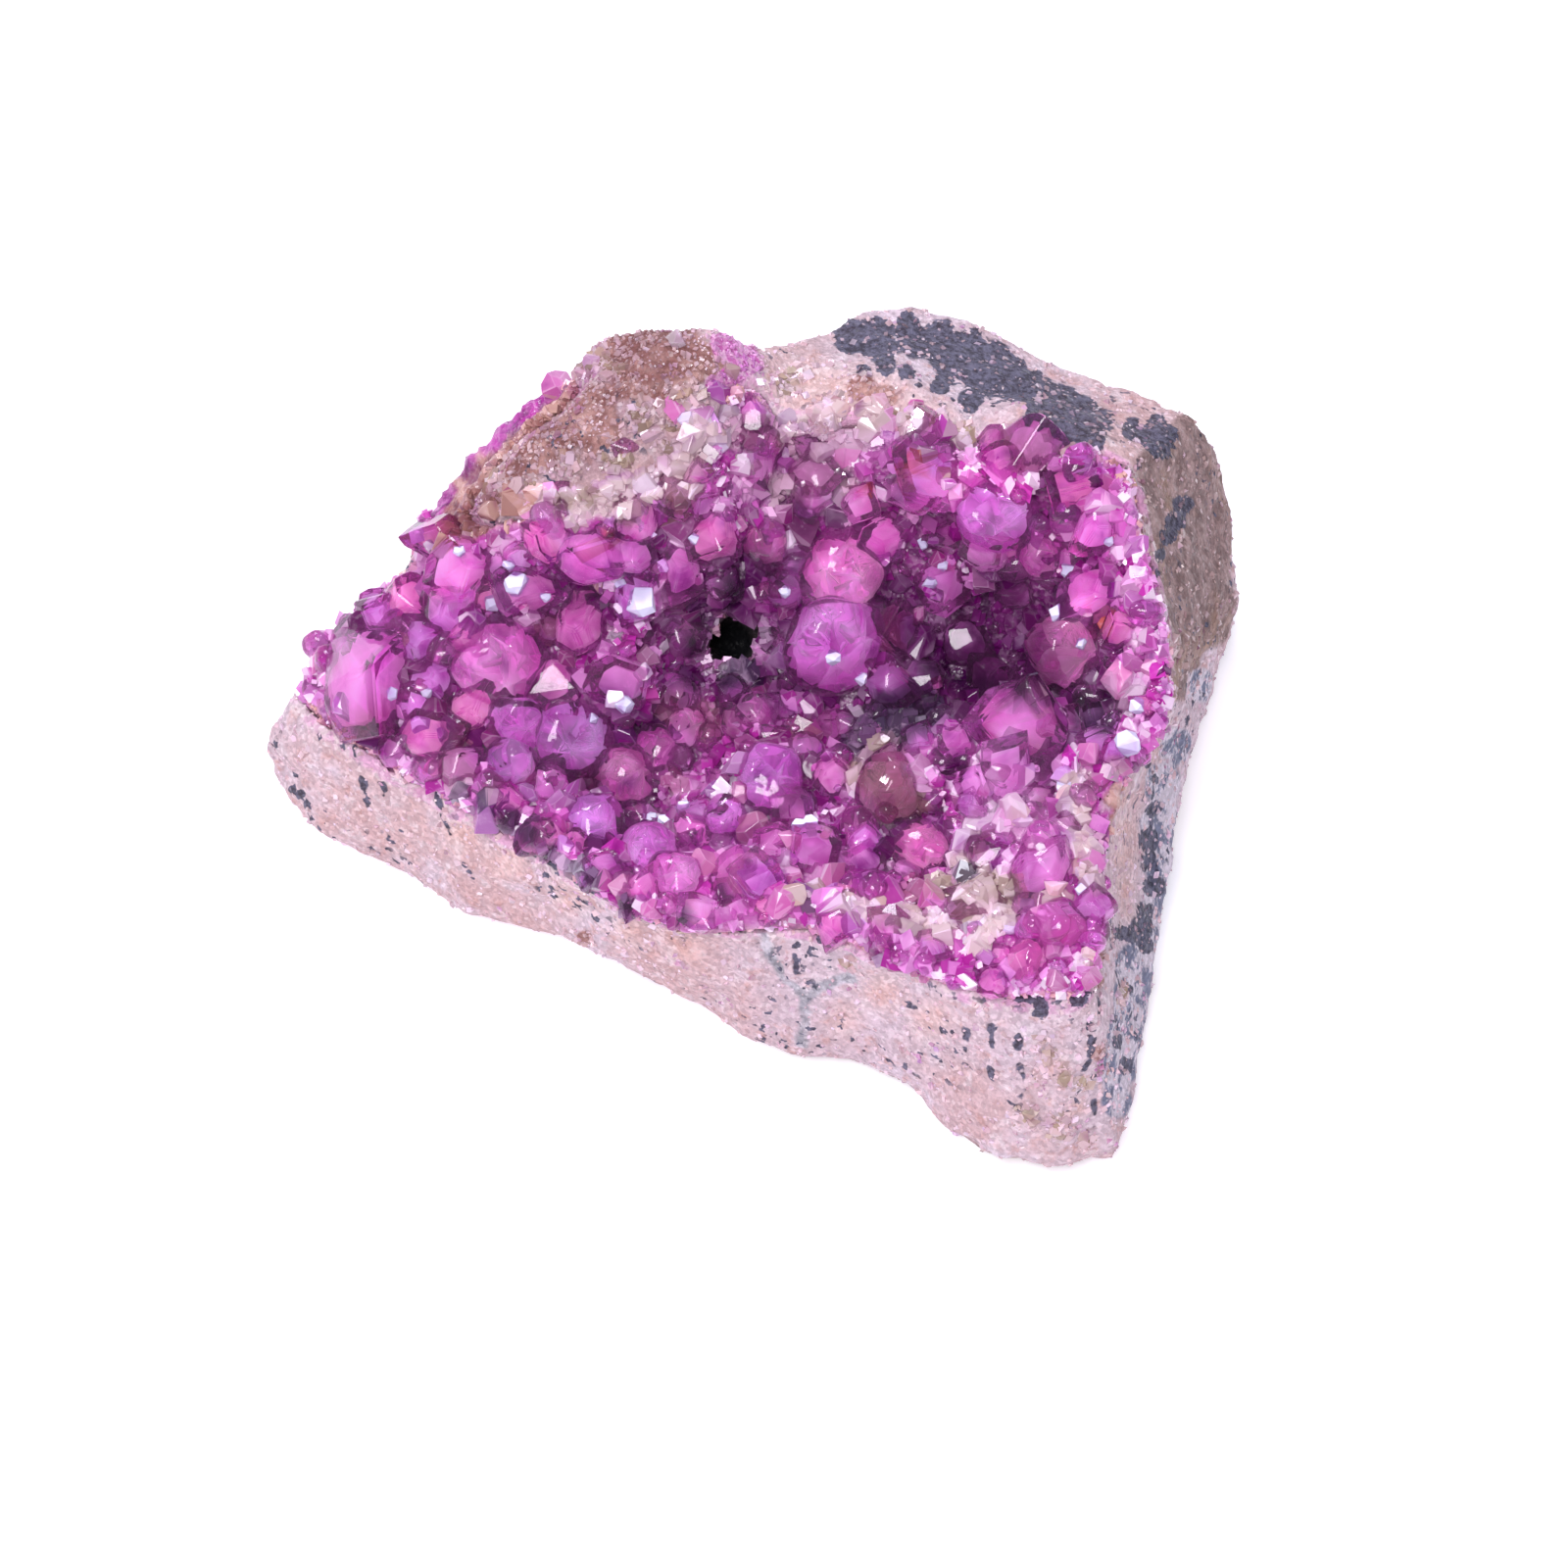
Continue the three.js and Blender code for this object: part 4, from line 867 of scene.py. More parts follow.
def zone_tint(points, tint):
    """Takes a tint towards grey, rocky, dark or rusty colours where the crust has them, and towards painted
    shade in the recesses.
    """
    wobble = 0.28 * soft_noise(points, 1.1, SEED + 30) + 0.14 * soft_noise(points, 0.5, SEED + 31)
    mood = soft_noise(points, 0.9, SEED + 32)
    rocky = blended(SALMON, BROWN, smoothstep(-0.3, 0.4, mood))
    beige = blended(BEIGE, WHITE * 0.9, smoothstep(0.0, 0.6, mood))
    bleached = blended(PALE_PINK * (1.0, 1.15, 0.95), WHITE, smoothstep(-0.4, 0.5, mood))
    ragged_zones = (
        (PALE_CRUST, bleached, 0.75), (GREY_CALCITE, GREY, 0.75), (ROCKY_CRUST, rocky, 0.95),
        (BEIGE_CRUST, beige, 0.85), (OLIVE_CRUST, OLIVE, 0.7), (DARK_DRUSE, DARK, 0.8),
        (BROWNISH, BROWN, 0.35), (RUSTY, RUST, 0.8),
    )
    for blobs, colour, most in ragged_zones:
        strength = mark_strength(points, whole_tree, blobs, 0.3)
        tint = blended(tint, colour, most * smoothstep(0.25, 0.6, strength + wobble * (strength > 0)))
    vivid = mark_strength(points, whole_tree, VIVID, -0.2, 4)
    tint = blended(tint, np.minimum(tint * (1.30, 1.10, 1.20), 1), vivid)
    # Dark spots inside some balls, then painted shade: deep purple in the recesses and near black in the
    # deepest shadow.
    for blobs, colour, most in ((DARK_SPOTS, SHADE, 0.8), (RECESS_SHADE, SHADE_PURPLE, 0.85), (DEEPEST_SHADOW, SHADOW_BLACK, 0.85)):
        tint = blended(tint, colour, most * mark_strength(points, whole_tree, blobs, -0.2, 4))
    return tint


# The bed that the crystals stand in

def openness(points, tree):
    """The share of the sky that each point sees past what the tree holds."""
    turns = np.arange(SKY_RAYS) * math.pi * (3 - math.sqrt(5))  # by the golden angle each time
    heights = LOWEST_RAY + (1 - LOWEST_RAY) * (np.arange(SKY_RAYS) + 0.5) / SKY_RAYS
    flat = np.sqrt(1 - heights ** 2)
    rays = [Vector(ray) for ray in np.stack([flat * np.cos(turns), flat * np.sin(turns), heights], axis=1)]
    seen = np.zeros(len(points))
    for n, point in enumerate(points):
        start = Vector(point)
        seen[n] = sum(tree.ray_cast(start, ray)[0] is None for ray in rays) / SKY_RAYS
    return seen


def inside_share(points, standing):
    """How near each point is to the middle of a standing crystal, over that crystal's radius."""
    share = np.full(len(points), FAR)
    for place, radius in standing:
        share = np.minimum(share, np.linalg.norm(points - place, axis=1) / radius)
    return share


def drawn_in(points, standing):
    """Takes the bed's points in towards the middles of the crystals that stand over them, so that
    no crystal has the bed between its shell and its core."""
    points = points.copy()
    for place, radius in standing:
        away = points - place
        share = np.linalg.norm(away, axis=1) / radius
        near = np.flatnonzero(share < TUCKED_FROM[-1])
        taken = np.interp(share[near], TUCKED_FROM, TUCKED_TO)
        points[near] = place + away[near] * (taken / share[near])[:, None]
    return points


def build_bed(bare, crowd, standing):
    points, normals, faces = fine_copy(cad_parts["crystal_crust"], BED_VOXEL, BED_SMOOTHING)
    gap = surface_distance(rock_tree, points)
    inward = point_distance(bare, points)
    sky = openness(points + 0.5 * normals, crowd)
    ragged = soft_noise(points, 1.6, SEED + 33) + 0.5 * soft_noise(points, 0.7, SEED + 34)
    edge = smoothstep(1.5, 0.4, inward + 0.45 * ragged)
    move = BED_LIFT - BED_DROP * smoothstep(0.6, 1.4, gap) * (1 - edge)
    near, _, share = cell_noise(points, 0.9, SEED + 5)
    move += smoothstep(0.3, 1.0, gap) * (0.4 * (share - 0.5) + 0.3 * (0.5 - near))
    moved = drawn_in(points + move[:, None] * normals, standing)
    tint = painted_gap_shade(pinks(0.1 + 0.3 * soft_noise(points, 2.0, SEED + 6)), sky, 0.95, 0.8, 0.2)
    border = blended(PALE_PINK * 0.9, SALMON * 1.2, smoothstep(-0.5, 0.5, ragged))
    tint = zone_tint(points, blended(tint, border, 0.85 * edge))
    piece = make_piece("crust_bed", moved, faces, druse_material(), tint=tint)
    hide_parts("crystal_crust")
    clear = inside_share(points, standing)
    return {"points": points, "normals": normals, "inward": inward, "sky": sky, "clear": clear}


def growing_room(bed, inward, facing, clear):
    """The bed's points well in from the bare rock, turned to the viewer, clear of the crystals that
    stand out and off the rocky places."""
    rocky = mark_strength(bed["points"], whole_tree, ROCKY_CRUST + KNOB_EDGE)
    turned = bed["normals"] @ TO_VIEWER > facing
    return np.flatnonzero((bed["inward"] > inward) & turned & (bed["clear"] > clear) & (rocky == 0))


# Parts of crystals

def rhombohedron_normals(random):
    angle = math.radians(random.uniform(*FACE_ANGLES))
    normals = []
    for turn in 2 * math.pi * np.arange(3) / 3:
        flat = math.sin(angle)
        normal = np.array((flat * math.cos(turn), flat * math.sin(turn), math.cos(angle)))
        normals += [normal, -normal]
    return np.array(normals)


ASKEW = (0.31, 0.87, 0.38)  # a direction that hardly any crystal points in


def random_turn(random, axis, lean):
    """Three unit directions as columns, the last leaning at random from axis, the others at a
    random turn about it."""
    axis = unit(axis + lean * random.normal(size=3))
    turn = random.uniform(0, 2 * math.pi)
    side = unit(np.cross(axis, ASKEW))
    first = math.cos(turn) * side + math.sin(turn) * np.cross(axis, side)
    return np.stack([first, np.cross(axis, first), axis], axis=1)


def random_radii(random, radii, power, count=None):
    """Radii from the smallest up, the fewer the larger."""
    smallest, spread = radii
    return smallest + spread * random.random(count) ** power


def own_shade(random):
    """How one crystal's colour differs from the others', towards red or violet, light or dark."""
    lean = random.uniform(-0.12, 0.12)
    return random.uniform(0.75, 1.15) * np.array((1 + lean, 1, 1 - lean))


class Joined:
    """Solids gathered into one piece, with a tint for each of their points or faces."""

    def __init__(self):
        self.points, self.faces, self.tints = [], [], []
        self.total = 0

    def add(self, points, faces, tint):
        self.points.append(points)
        self.faces.append(faces + self.total)
        self.tints.append(tint)
        self.total += len(points)

    def finish(self, name, material, slot, tint_on, smooth, zoning=0):
        """Makes the piece, and returns its points and faces."""
        if not self.points:
            return []
        points, faces, tint = (np.concatenate(part) for part in (self.points, self.faces, self.tints))
        if zoning:
            places = points if tint_on == "POINT" else points[faces].mean(axis=1)
            tint = blended(tint, zone_tint(places, tint), zoning)
        make_piece(name, points, faces, material, smooth=smooth, tint=tint, tint_on=tint_on)
        return [(points, faces)]


SHELL_ZONING = 0.7  # the shells take less of the zones' colours than what is inside them


# Rounded crystals

def icosphere(level):
    mesh = bmesh.new()
    bmesh.ops.create_icosphere(mesh, subdivisions=level, radius=1)
    points = np.array([v.co[:] for v in mesh.verts])
    faces = np.array([[v.index for v in f.verts] for f in mesh.faces])
    mesh.free()
    return unit(points), faces


def rounded_shape(directions, random):
    """A rounded crystal's points, with a random share for the face each is on."""
    normals = np.concatenate([rhombohedron_normals(random), unit(random.normal(size=(BALL_FLATS, 3)))])
    offsets = np.concatenate([np.full(6, 1.0), random.uniform(0.97, 1.10, size=BALL_FLATS)])
    leaning = np.maximum(directions @ normals.T, 0) / offsets
    faceted = np.sum(leaning ** BALL_SHARPNESS, axis=1) ** (-1 / BALL_SHARPNESS)
    distance = BALL_SIZE * (BALL_FLATNESS * np.minimum(faceted, 1.25) + 1.03 * (1 - BALL_FLATNESS))
    face_share = random.random(len(normals))[np.argmax(leaning, axis=1)]
    place = directions * 3 + random.uniform(0, 50, size=3)
    rough_side = smoothstep(-0.2, 0.5, soft_noise(place, 2.2, SEED + 14))
    for size, depth in ((1.3, 0.022), (0.6, 0.013)):
        near, second, share = cell_noise(place, size, SEED + 11)
        distance *= 1 + depth * rough_side * (2 * share - 1) * smoothstep(0, 0.16, second - near)
    distance *= 1 + 0.03 * soft_noise(place, 2.0, SEED + 12)
    return directions * distance[:, None], face_share


class RoundCrystals:
    """Rounded crystals: clear shells and the milky cores inside them."""

    def __init__(self, level):
        self.directions, self.faces = icosphere(level)
        core_directions, self.core_faces = icosphere(level - 1)
        self.core_size = len(core_directions)
        self.shells, self.cores = Joined(), Joined()

    def grow(self, place, outward, radius, stretch, sky, milkiness, random):
        turning = random_turn(random, outward, BALL_LEAN)
        shape, face_share = rounded_shape(self.directions, random)
        width = random.uniform(0.92, 1.08)
        shape = (shape * (width, 1 / width, stretch) * radius) @ turning.T
        shell_tint = blended(np.tile(SHELL, (len(shape), 1)), PALE_PINK, 0.2 * face_share)
        self.shells.add(place + shape, self.faces, shell_tint)
        inner = shape[:self.core_size]
        share = BALL_CORE * (1 + 0.12 * soft_noise(inner, 0.5 * radius, SEED + 15))
        core = place + inner * share[:, None]
        milk_and_lit_top = np.clip(milkiness * (0.65 + 0.7 * soft_noise(core, 0.9, SEED + 16)), 0, 1)
        # Painted light: less milk towards the base, so that the crystal's top is paler and its flanks
        # darker.
        milk_and_lit_top *= smoothstep(-0.6, 0.7, self.directions[:self.core_size, 2])
        tint = blended(CORE_PINK, MILK, milk_and_lit_top) * own_shade(random)
        self.cores.add(core, self.core_faces, painted_gap_shade(tint, sky))

    def finish(self, name):
        outside = self.shells.finish(f"{name}_shells", glassy, "pink_calcite", "POINT", True, SHELL_ZONING)
        self.cores.finish(f"{name}_cores", milky, "pink_calcite", "POINT", True, 1)
        return outside


# Flat-faced crystals

def corners_within(normals, offsets):
    """The corners of the solid that lies inside a set of planes."""
    triples = np.array(list(itertools.combinations(range(len(normals)), 3)))
    planes = normals[triples]
    firm = np.abs(np.linalg.det(planes)) > 0.01
    corners = np.linalg.solve(planes[firm], offsets[triples[firm]][..., None])[..., 0]
    return corners[np.all(corners @ normals.T < offsets + 1e-6, axis=1)]


def flat_faced(corners):
    """The hull of some corners: its points, triangles, their facings and the flat each is part of."""
    mesh = bmesh.new()
    for corner in corners:
        mesh.verts.new(corner)
    bmesh.ops.remove_doubles(mesh, verts=mesh.verts, dist=0.004)
    hull = bmesh.ops.convex_hull(mesh, input=mesh.verts)
    inner = {g for g in hull["geom_interior"] if isinstance(g, bmesh.types.BMVert)}
    bmesh.ops.delete(mesh, geom=list(inner), context="VERTS")
    bmesh.ops.triangulate(mesh, faces=mesh.faces)
    mesh.verts.index_update()
    mesh.normal_update()
    points = np.array([v.co[:] for v in mesh.verts])
    faces = np.array([[v.index for v in f.verts] for f in mesh.faces])
    facings = np.array([f.normal[:] for f in mesh.faces])
    mesh.free()
    return points, faces, facings, np.argmax(facings @ facings.T > 0.995, axis=1)


def cut_crystal(random, cuts):
    """A rhombohedral crystal of size 1 with some of its corners cut off and its edges worn: its
    points, triangles, the flat each is part of and whether that is a worn edge, which gets a painted
    highlight."""
    normals = np.concatenate([rhombohedron_normals(random), unit(random.normal(size=(cuts, 3)))])
    offsets = np.concatenate([random.uniform(0.80, 1.0, size=6), random.uniform(0.82, 1.02, size=cuts)])
    corners = corners_within(normals, offsets)
    touching = np.abs(corners @ normals.T - offsets) < 1e-5
    edge_normals, edge_offsets = [], []
    for a, b in itertools.combinations(range(len(normals)), 2):
        shared = corners[touching[:, a] & touching[:, b]]
        if len(shared) > 1:
            between = unit(normals[a] + normals[b])
            edge_normals.append(between)
            edge_offsets.append(np.max(shared @ between) - WORN_DEPTH * random.uniform(0.5, 1.5))
    all_normals = np.concatenate([normals, edge_normals])
    corners = corners_within(all_normals, np.concatenate([offsets, edge_offsets]))
    points, faces, facings, flats = flat_faced(corners)
    worn_and_highlit = np.argmax(facings @ all_normals.T, axis=1) >= len(normals)
    return points, faces, flats, worn_and_highlit


class CutCrystals:
    """Flat-faced crystals: clear shells, the milky cores inside them, and frosted ones."""

    shapes = []  # made once, and shared by all of these

    def __init__(self, random):
        if not self.shapes:
            self.shapes += [cut_crystal(random, random.integers(*CUTS)) for _ in range(CUT_SHAPES)]
        self.shells, self.cores, self.frosted = Joined(), Joined(), Joined()

    def grow(self, place, outward, radius, stretch, habit, sky, random):
        points, faces, flats, worn_and_highlit = self.shapes[random.integers(len(self.shapes))]
        turning = random_turn(random, outward, BLOCK_LEAN)
        shape = (points * radius * random.uniform(0.85, 1.2, size=3) * (1, 1, stretch)) @ turning.T
        tint = pinks(random.normal(0.38, 0.18) + random.uniform(-0.22, 0.22, size=len(flats))[flats])
        if habit == "clear":
            tint = blended(tint, GREY * 1.3, 0.35)
        if habit == "pale":
            mineral = (WHITE, GREY * 1.2, BEIGE, PALE_PINK, OLIVE, BEIGE)[random.integers(6)]
            tint = blended(tint, mineral, 0.72 + 0.25 * random.random(size=len(flats))[flats])
        tint = painted_gap_shade(tint * own_shade(random), sky)
        # Painted highlight: the worn edges are whitened, more where more of the sky is seen.
        tint = blended(tint, WHITE, 0.15 * worn_and_highlit * smoothstep(0.1, 0.6, sky))
        if habit == "pale" or random.random() < smoothstep(*FROSTED_BAND, radius):
            self.frosted.add(place + shape, faces, tint)
            return
        self.shells.add(place + shape, faces, blended(tint, SHELL, 0.7))
        core = blended(np.tile(CORE_PINK, (len(points), 1)), MILK, random.uniform(0, 0.7, size=len(points)))
        self.cores.add(place + BLOCK_CORE * shape, faces, painted_gap_shade(core * own_shade(random), sky))

    def finish(self, name, frost):
        outside = self.shells.finish(f"{name}_shells", glassy, "pink_calcite", "FACE", False, SHELL_ZONING)
        outside += self.frosted.finish(f"{name}_frosted", frost, "pink_calcite", "FACE", False, 1)
        self.cores.finish(f"{name}_cores", milky, "pink_calcite", "POINT", True, 1)
        return outside


# Growing the crystals

def outward_at(px, py):
    """The direction out of the rock under a pixel."""
    spot = seen_on(rock_tree, px, py)
    if spot is None:
        return TO_VIEWER
    normal = spot[1] if spot[1] @ FORWARD < 0 else -spot[1]
    return unit(0.6 * normal + 0.4 * np.array((0, 0, 1.0)))


def build_placed_crystals():
    """The crystals read off the picture, where each stands and where the flat-faced ones do."""
    large, small = RoundCrystals(LARGE_LEVEL), RoundCrystals(SMALL_LEVEL)
    cut = CutCrystals(np.random.default_rng(SEED))
    standing, faceted = [], []
    placed = [(habit, *crystal) for habit, crystals in PLACED_CRYSTALS.items() for crystal in crystals]
    for habit, px, py, radius in placed:
        spot = seen_on(whole_tree, px, py)
        if spot is None:
            continue
        random = np.random.default_rng((PLACED_SEED, px, py))
        stretch = random.uniform(*PLACED_STRETCH)
        sight = sight_line(px, py)
        sky = openness([spot[0] - 0.7 * sight], whole_tree)[0]
        place = spot[0] + PLACED_DEPTH * radius * sight
        standing.append((place, radius))
        if habit == "round":
            balls = large if radius > FINE_BALL else small
            milkiness = 1.1 if radius > MILKY_BALL else 0.7
            balls.grow(place, outward_at(px, py), radius, stretch, sky, milkiness, random)
        else:
            faceted.append((place, radius))
            cut.grow(place, outward_at(px, py), radius, stretch, habit, sky, random)
    grown = large.finish("large_balls") + small.finish("small_balls") + cut.finish("blocks", frosty)
    return grown, standing, faceted


def spaced_out(places, order, spacing, most):
    """The first of the places, in the given order, that are all at least the spacing apart."""
    known = []
    for n in order:
        if len(known) == most:
            break
        if not known or np.min(np.linalg.norm(places[known] - places[n], axis=1)) > spacing:
            known.append(n)
    return known


def build_fillers(bed):
    """Crystals that fill the crust between those that stand out."""
    random = np.random.default_rng(SEED + 5)
    balls, cut = RoundCrystals(FILLING_LEVEL), CutCrystals(random)
    order = random.permutation(growing_room(bed, 1.1, -0.5, 0.9))
    for n in spaced_out(bed["points"], order, FILLER_SPACING, FILLER_COUNT):
        normal, sky = bed["normals"][n], bed["sky"][n]
        radius = random_radii(random, FILLER_RADII, 1.6)
        place = bed["points"][n] - FILLER_DEPTH * radius * normal
        stretch = random.uniform(*GROWN_STRETCH)
        if random.random() < ROUND_FILLER:
            balls.grow(place, normal, radius, stretch, sky, 0.5, random)
        else:
            habit = "clear" if random.random() < CLEAR_FILLER else "faceted"
            cut.grow(place, normal, radius, stretch, habit, sky, random)
    return balls.finish("filling_balls") + cut.finish("filling_blocks", frosty)


def build_pale_druse(bed, rock):
    """Grey, beige and white crystals where the crust has lost its colour, and over the rock there."""
    random = np.random.default_rng(SEED + 8)
    cut = CutCrystals(random)
    points = np.concatenate([bed["points"], rock["points"]])
    normals = np.concatenate([bed["normals"], rock["normals"]])
    likely = mark_strength(points, whole_tree, BEIGE_CRUST, 0.3) > 0.3
    order = random.permutation(np.flatnonzero(likely & (normals @ TO_VIEWER > 0.1)))
    for n in spaced_out(points, order, PALE_SPACING, PALE_COUNT):
        radius = random_radii(random, PALE_RADII, 2)
        cut.grow(points[n], normals[n], radius, random.uniform(*GROWN_STRETCH), "pale", 1.0, random)
    return cut.finish("pale_druse", clearer)


def build_encrusting(faceted):
    """Small crystals on the sides of each flat-faced one that stands out."""
    random = np.random.default_rng(SEED + 9)
    cut = CutCrystals(random)
    for place, radius in faceted:
        if radius < LEAST_HOST:
            continue
        sky = openness([place + 1.1 * radius * TO_VIEWER], whole_tree)[0]
        for _ in range(ENCRUSTING_COUNT):
            away = unit(random.normal(size=3) + 0.4 * TO_VIEWER)
            if away @ TO_VIEWER > 0.75:
                continue
            habit = "pale" if random.random() < PALE_ENCRUSTING else "faceted"
            size = radius * random.uniform(*ENCRUSTING_SIZES)
            stretch = random.uniform(*ENCRUSTING_STRETCH)
            cut.grow(place + HOST_SIDE * radius * away, away, size, stretch, habit, sky, random)
    return cut.finish("encrusting", clearer)


# Small crystals and grains

def small_shape(random, flatness, corners):
    """A small flat-faced crystal: the hull of a rhombohedron's corners and a few more points."""
    places = []
    for top in (1, -1):
        places.append((0, 0, top * flatness))
        for n in range(3):
            turn = 2 * math.pi * n / 3 + (0 if top > 0 else math.pi / 3)
            places.append((math.cos(turn), math.sin(turn), top * flatness / 3))
    for _ in range(corners):
        places.append(unit(random.normal(size=3)) * (0.95, 0.95, flatness * 0.95))
    return flat_faced(places)


def small_shapes(random, count, flatness, corners):
    return [small_shape(random, random.uniform(*flatness), random.integers(*corners)) for _ in range(count)]


def scatter(name, places, normals, radii, tints, shapes, slot, material, random, tilt, sink=0.0):
    """Small crystals at many places, sunk by a share of their radius, as one joined mesh with flat
    faces."""
    grains = Joined()
    for place, normal, radius, tint in zip(places, normals, radii, tints):
        points, faces, _, flats = shapes[random.integers(len(shapes))]
        turning = random_turn(random, normal, tilt)
        scale = radius * random.uniform(0.6, 1.45, size=3)
        # Each face is lighter or darker at random: painted sparkle, for facets that catch the light
        # differently.
        lightness = random.uniform(0.75, 1.25, size=len(flats))[flats]
        shape = (points * scale) @ turning.T
        grains.add(place - sink * radius * normal + shape, faces, tint * lightness[:, None])
    grains.finish(name, material, slot, "FACE", False)


def strewn(random, points, normals):
    """Moves each point along its surface, so that no grid of the skin under them shows."""
    moves = random.uniform(-STREWING, STREWING, size=points.shape)
    moves -= np.sum(moves * normals, axis=1)[:, None] * normals
    return points + moves


def build_small_crystals(bed):
    random = np.random.default_rng(SEED + 1)
    shapes = small_shapes(random, 24, (0.6, 1.1), (0, 4))
    inner = growing_room(bed, 0.9, -0.4, 0.97)
    chosen = random.choice(inner, min(SMALL_COUNT, len(inner)), replace=False)
    points = bed["points"][chosen]
    radii = random_radii(random, SMALL_RADII, 2.6, len(chosen))
    tints = pinks(random.normal(0.3, 0.35, len(chosen)))
    # Some small crystals are white: partly white grains, partly painted highlights standing for glints.
    tints = blended(tints, WHITE, random.random(len(chosen)) > 1 - WHITE_AND_GLINTING_SMALL)
    tints = zone_tint(points, painted_gap_shade(tints, bed["sky"][chosen], 0.92, 0.75, 0.2))
    scatter("small_crystals", points, bed["normals"][chosen], radii, tints, shapes, "pink_calcite", clearer,
            random, SMALL_LEAN, sink=0.2)


def build_rim_grains(bed):
    random = np.random.default_rng(SEED + 2)
    shapes = small_shapes(random, 16, (0.6, 1.2), (1, 4))
    rim = np.flatnonzero((bed["inward"] > 0.2) & (bed["inward"] < 1.4) & (bed["normals"][:, 2] > 0.0))
    rim = rim[soft_noise(bed["points"][rim], 2.2, SEED + 17) > -0.25]
    rim = rim[mark_strength(bed["points"][rim], whole_tree, ROCKY_CRUST) == 0]
    chosen = random.choice(rim, min(RIM_COUNT, len(rim)), replace=False)
    normals = bed["normals"][chosen]
    points = strewn(random, bed["points"][chosen], normals)
    radii = random_radii(random, RIM_RADII, 2, len(chosen))
    white = np.clip(random.normal(0.35, 0.35, len(chosen)), 0, 1)
    tints = zone_tint(points, blended(0.6 * PALE_PINK + 0.4 * MAGENTA, WHITE, white))
    scatter("rim_grains", points, normals, radii, tints, shapes, "pink_calcite", pale_grains,
            random, GRAIN_LEAN)


def build_seam_grains(bed):
    """Grains that fill the seam between the crust and the bare rock."""
    random = np.random.default_rng(SEED + 6)
    shapes = small_shapes(random, 12, (0.7, 1.2), (1, 4))
    seam = np.flatnonzero((bed["inward"] < 0.7) & (bed["normals"] @ TO_VIEWER > -0.4))
    chosen = random.choice(seam, SEAM_COUNT)
    points = bed["points"][chosen] + random.uniform(-0.25, 0.25, size=(SEAM_COUNT, 3))
    radii = random_radii(random, SEAM_RADII, 1.5, SEAM_COUNT)
    salmon = 0.5 + 0.5 * soft_noise(points, 1.4, SEED + 19) + random.normal(0, 0.3, SEAM_COUNT)
    tints = blended(0.7 * PALE_PINK + 0.3 * MAGENTA, SALMON * 1.15, np.clip(salmon, 0, 1))
    tints = zone_tint(points, blended(tints, WHITE, random.random(SEAM_COUNT) > 1 - WHITE_SEAM))
    scatter("seam_grains", points, bed["normals"][chosen], radii, tints, shapes, "pink_calcite", pale_grains,
            random, GRAIN_LEAN, sink=0.2)


def build_rock_grains(rock):
    random = np.random.default_rng(SEED + 4)
    points, normals, marks = rock["points"], rock["normals"], rock["marks"]
    shapes = small_shapes(random, 12, (0.7, 1.2), (1, 3))
    likely = 0.06 + 2.2 * marks["pale"] + 1.3 * marks["brown"] + 2 * marks["lilac"] + 1.5 * marks["pink"]
    likely *= (normals @ TO_VIEWER > -0.1) * (points[:, 2] > 1) * (marks["hole"] == 0)
    likely[surface_distance(crust_tree, points) < 0.45] = 0
    chosen = random.choice(len(points), GRAIN_COUNT, replace=False, p=likely / likely.sum())
    marks = {label: strength[chosen] for label, strength in marks.items()}
    radii = random_radii(random, GRAIN_RADII, 2, GRAIN_COUNT) * (1 + 0.9 * marks["pale"])
    tints = blended(GRAIN_SALMON, WHITE * 0.9, np.clip(random.normal(0.22, 0.30, GRAIN_COUNT), 0, 1))
    tints = blended(tints, GRAIN_OLIVE, marks["pale"] * (random.random(GRAIN_COUNT) > 1 - OLIVE_GRAIN))
    tints = blended(tints, GRAIN_BROWN, 0.7 * marks["brown"] * random.random(GRAIN_COUNT))
    tints = blended(tints, PALE_PINK * 0.8 + MAGENTA * 0.2, 0.9 * marks["pink"])
    tints = blended(tints, tints * DUSK, marks["dusky"])
    tints = blended(tints, GRAIN_TAUPE, 0.9 * marks["taupe"])
    tints = blended(tints, DARK, 0.8 * marks["stain"])
    places = strewn(random, points[chosen], normals[chosen])
    scatter("rock_grains", places, normals[chosen], radii, tints, shapes, "host_rock", pale_grains,
            random, GRAIN_LEAN, sink=0.3)


def build_mirror_faces(crowd):
    """Crystals whose top is one flat face, set so that it throws the window's light to the viewer."""
    random = np.random.default_rng(SEED + 3)
    facing = unit(unit(np.array(WINDOW_PLACE) / MM - SIGHT_TARGET) + TO_VIEWER)
    flat_topped = Joined()
    for px, py, radius in MIRROR_FACES:
        spot = seen_on(crowd, px, py)
        if spot is None:
            continue
        corners = []
        sides = random.integers(4, 6)
        for level, size in ((0.0, 1.0), (-0.5, 1.2), (-1.6, 0.7)):
            for n in range(sides):
                turn = 2 * math.pi * (n + 0.3 * random.normal()) / sides
                corners.append((size * math.cos(turn), size * math.sin(turn), level))
        points, faces, _, _ = flat_faced(corners)
        turning = random_turn(random, facing, MIRROR_LEAN)
        centre = spot[0] - MIRROR_DEPTH * radius * sight_line(px, py)
        shape = (points * radius * 0.7) @ turning.T
        flat_topped.add(centre + shape, faces, np.tile(MIRRORED_SKY, (len(points), 1)))
    flat_topped.finish("mirror_faced_crystals", mirrored, "pink_calcite", "POINT", False)


# Light, floor and camera

def area_light(name, place, size, power, colour):
    lamp = bpy.data.lights.new(name, "AREA")
    lamp.shape = "SQUARE"
    lamp.size = size
    lamp.energy = power
    lamp.color = colour
    light = bpy.data.objects.new(name, lamp)
    light.location = place
    target = Vector(SIGHT_TARGET * MM)
    light.rotation_euler = (target - Vector(place)).to_track_quat("-Z", "Y").to_euler()
    bpy.context.scene.collection.objects.link(light)


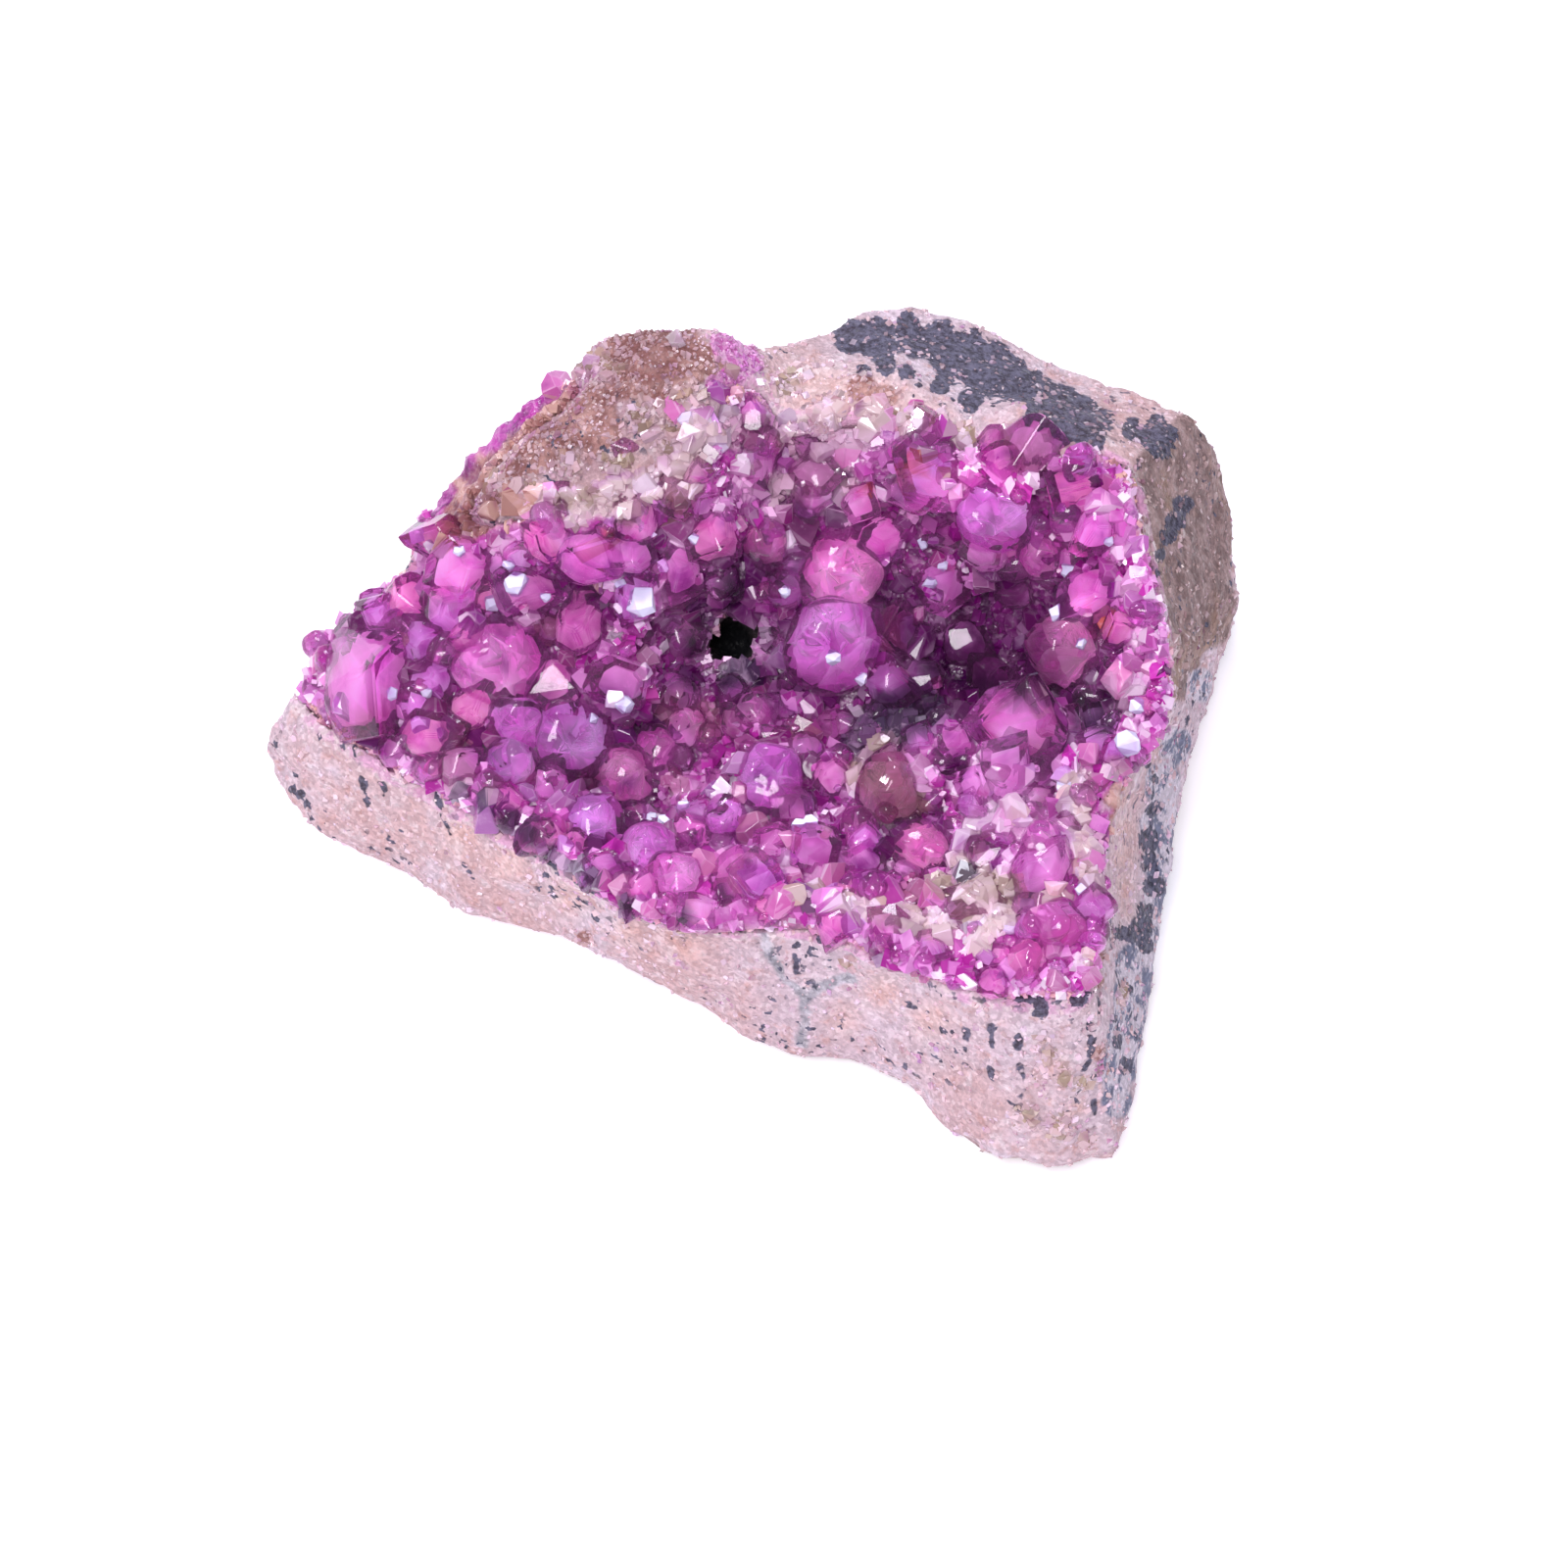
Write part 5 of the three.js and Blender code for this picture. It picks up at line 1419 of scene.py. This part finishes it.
def build_stage():
    world = bpy.data.worlds.new("soft room")
    world.use_nodes = True
    world.node_tree.nodes["Background"].inputs["Color"].default_value = ROOM_COLOUR
    world.node_tree.nodes["Background"].inputs["Strength"].default_value = ROOM_LIGHT
    bpy.context.scene.world = world
    for light in LIGHTS:
        area_light(*light)
    bpy.ops.mesh.primitive_plane_add(size=FLOOR_SIZE, location=(0, 0, 0))
    floor = bpy.context.object
    floor.name = "floor"
    s = Shader("pale floor")
    s.set(Base_Color=s.mix(s.noise(30, 3), (0.90, 0.89, 0.93), (0.93, 0.92, 0.96)), Roughness=0.9,
          Emission_Color=(0.95, 0.94, 1.0), Emission_Strength=FLOOR_GLOW)
    floor.data.materials.append(s.material)
    camera = bpy.data.objects.new("camera", bpy.data.cameras.new("camera"))
    camera.data.sensor_width = SENSOR_WIDTH
    camera.data.lens = PIXELS_PER_RADIAN / PICTURE_SIZE * SENSOR_WIDTH
    camera.data.clip_start = 0.01
    camera.location = EYE * MM
    camera.rotation_euler = Vector(FORWARD).to_track_quat("-Z", "Y").to_euler()
    bpy.context.scene.collection.objects.link(camera)
    bpy.context.scene.camera = camera
    bpy.context.scene.view_settings.view_transform = "Standard"


build_stage()
glassy = clear_calcite("clear magenta calcite", 0.04, 0.97, 0.02, 350)
milky = calcite_shader("milky calcite inside the crystals", 0.3, 0, 0.60).material
frosty = calcite_shader("frosted magenta calcite", 0.08, 0.22, 0.12).material
clearer = calcite_shader("small magenta calcite", 0.06, 0, 0.15).material
mirrored = calcite_shader("flat calcite faces", 0.28, 0, 0.10, 0).material
pale_grains = calcite_shader("pale calcite grains", 0.15, 0, 0).material
rock = build_rock()
grown, standing, faceted = build_placed_crystals()
bed = build_bed(rock["bare"], surface_tree(rock_solid, crust_solid, *grown), standing)
grown += build_fillers(bed)
grown += build_pale_druse(bed, rock)
grown += build_encrusting(faceted)
build_small_crystals(bed)
build_rim_grains(bed)
build_seam_grains(bed)
build_rock_grains(rock)
build_mirror_faces(surface_tree(rock_solid, crust_solid, *grown))
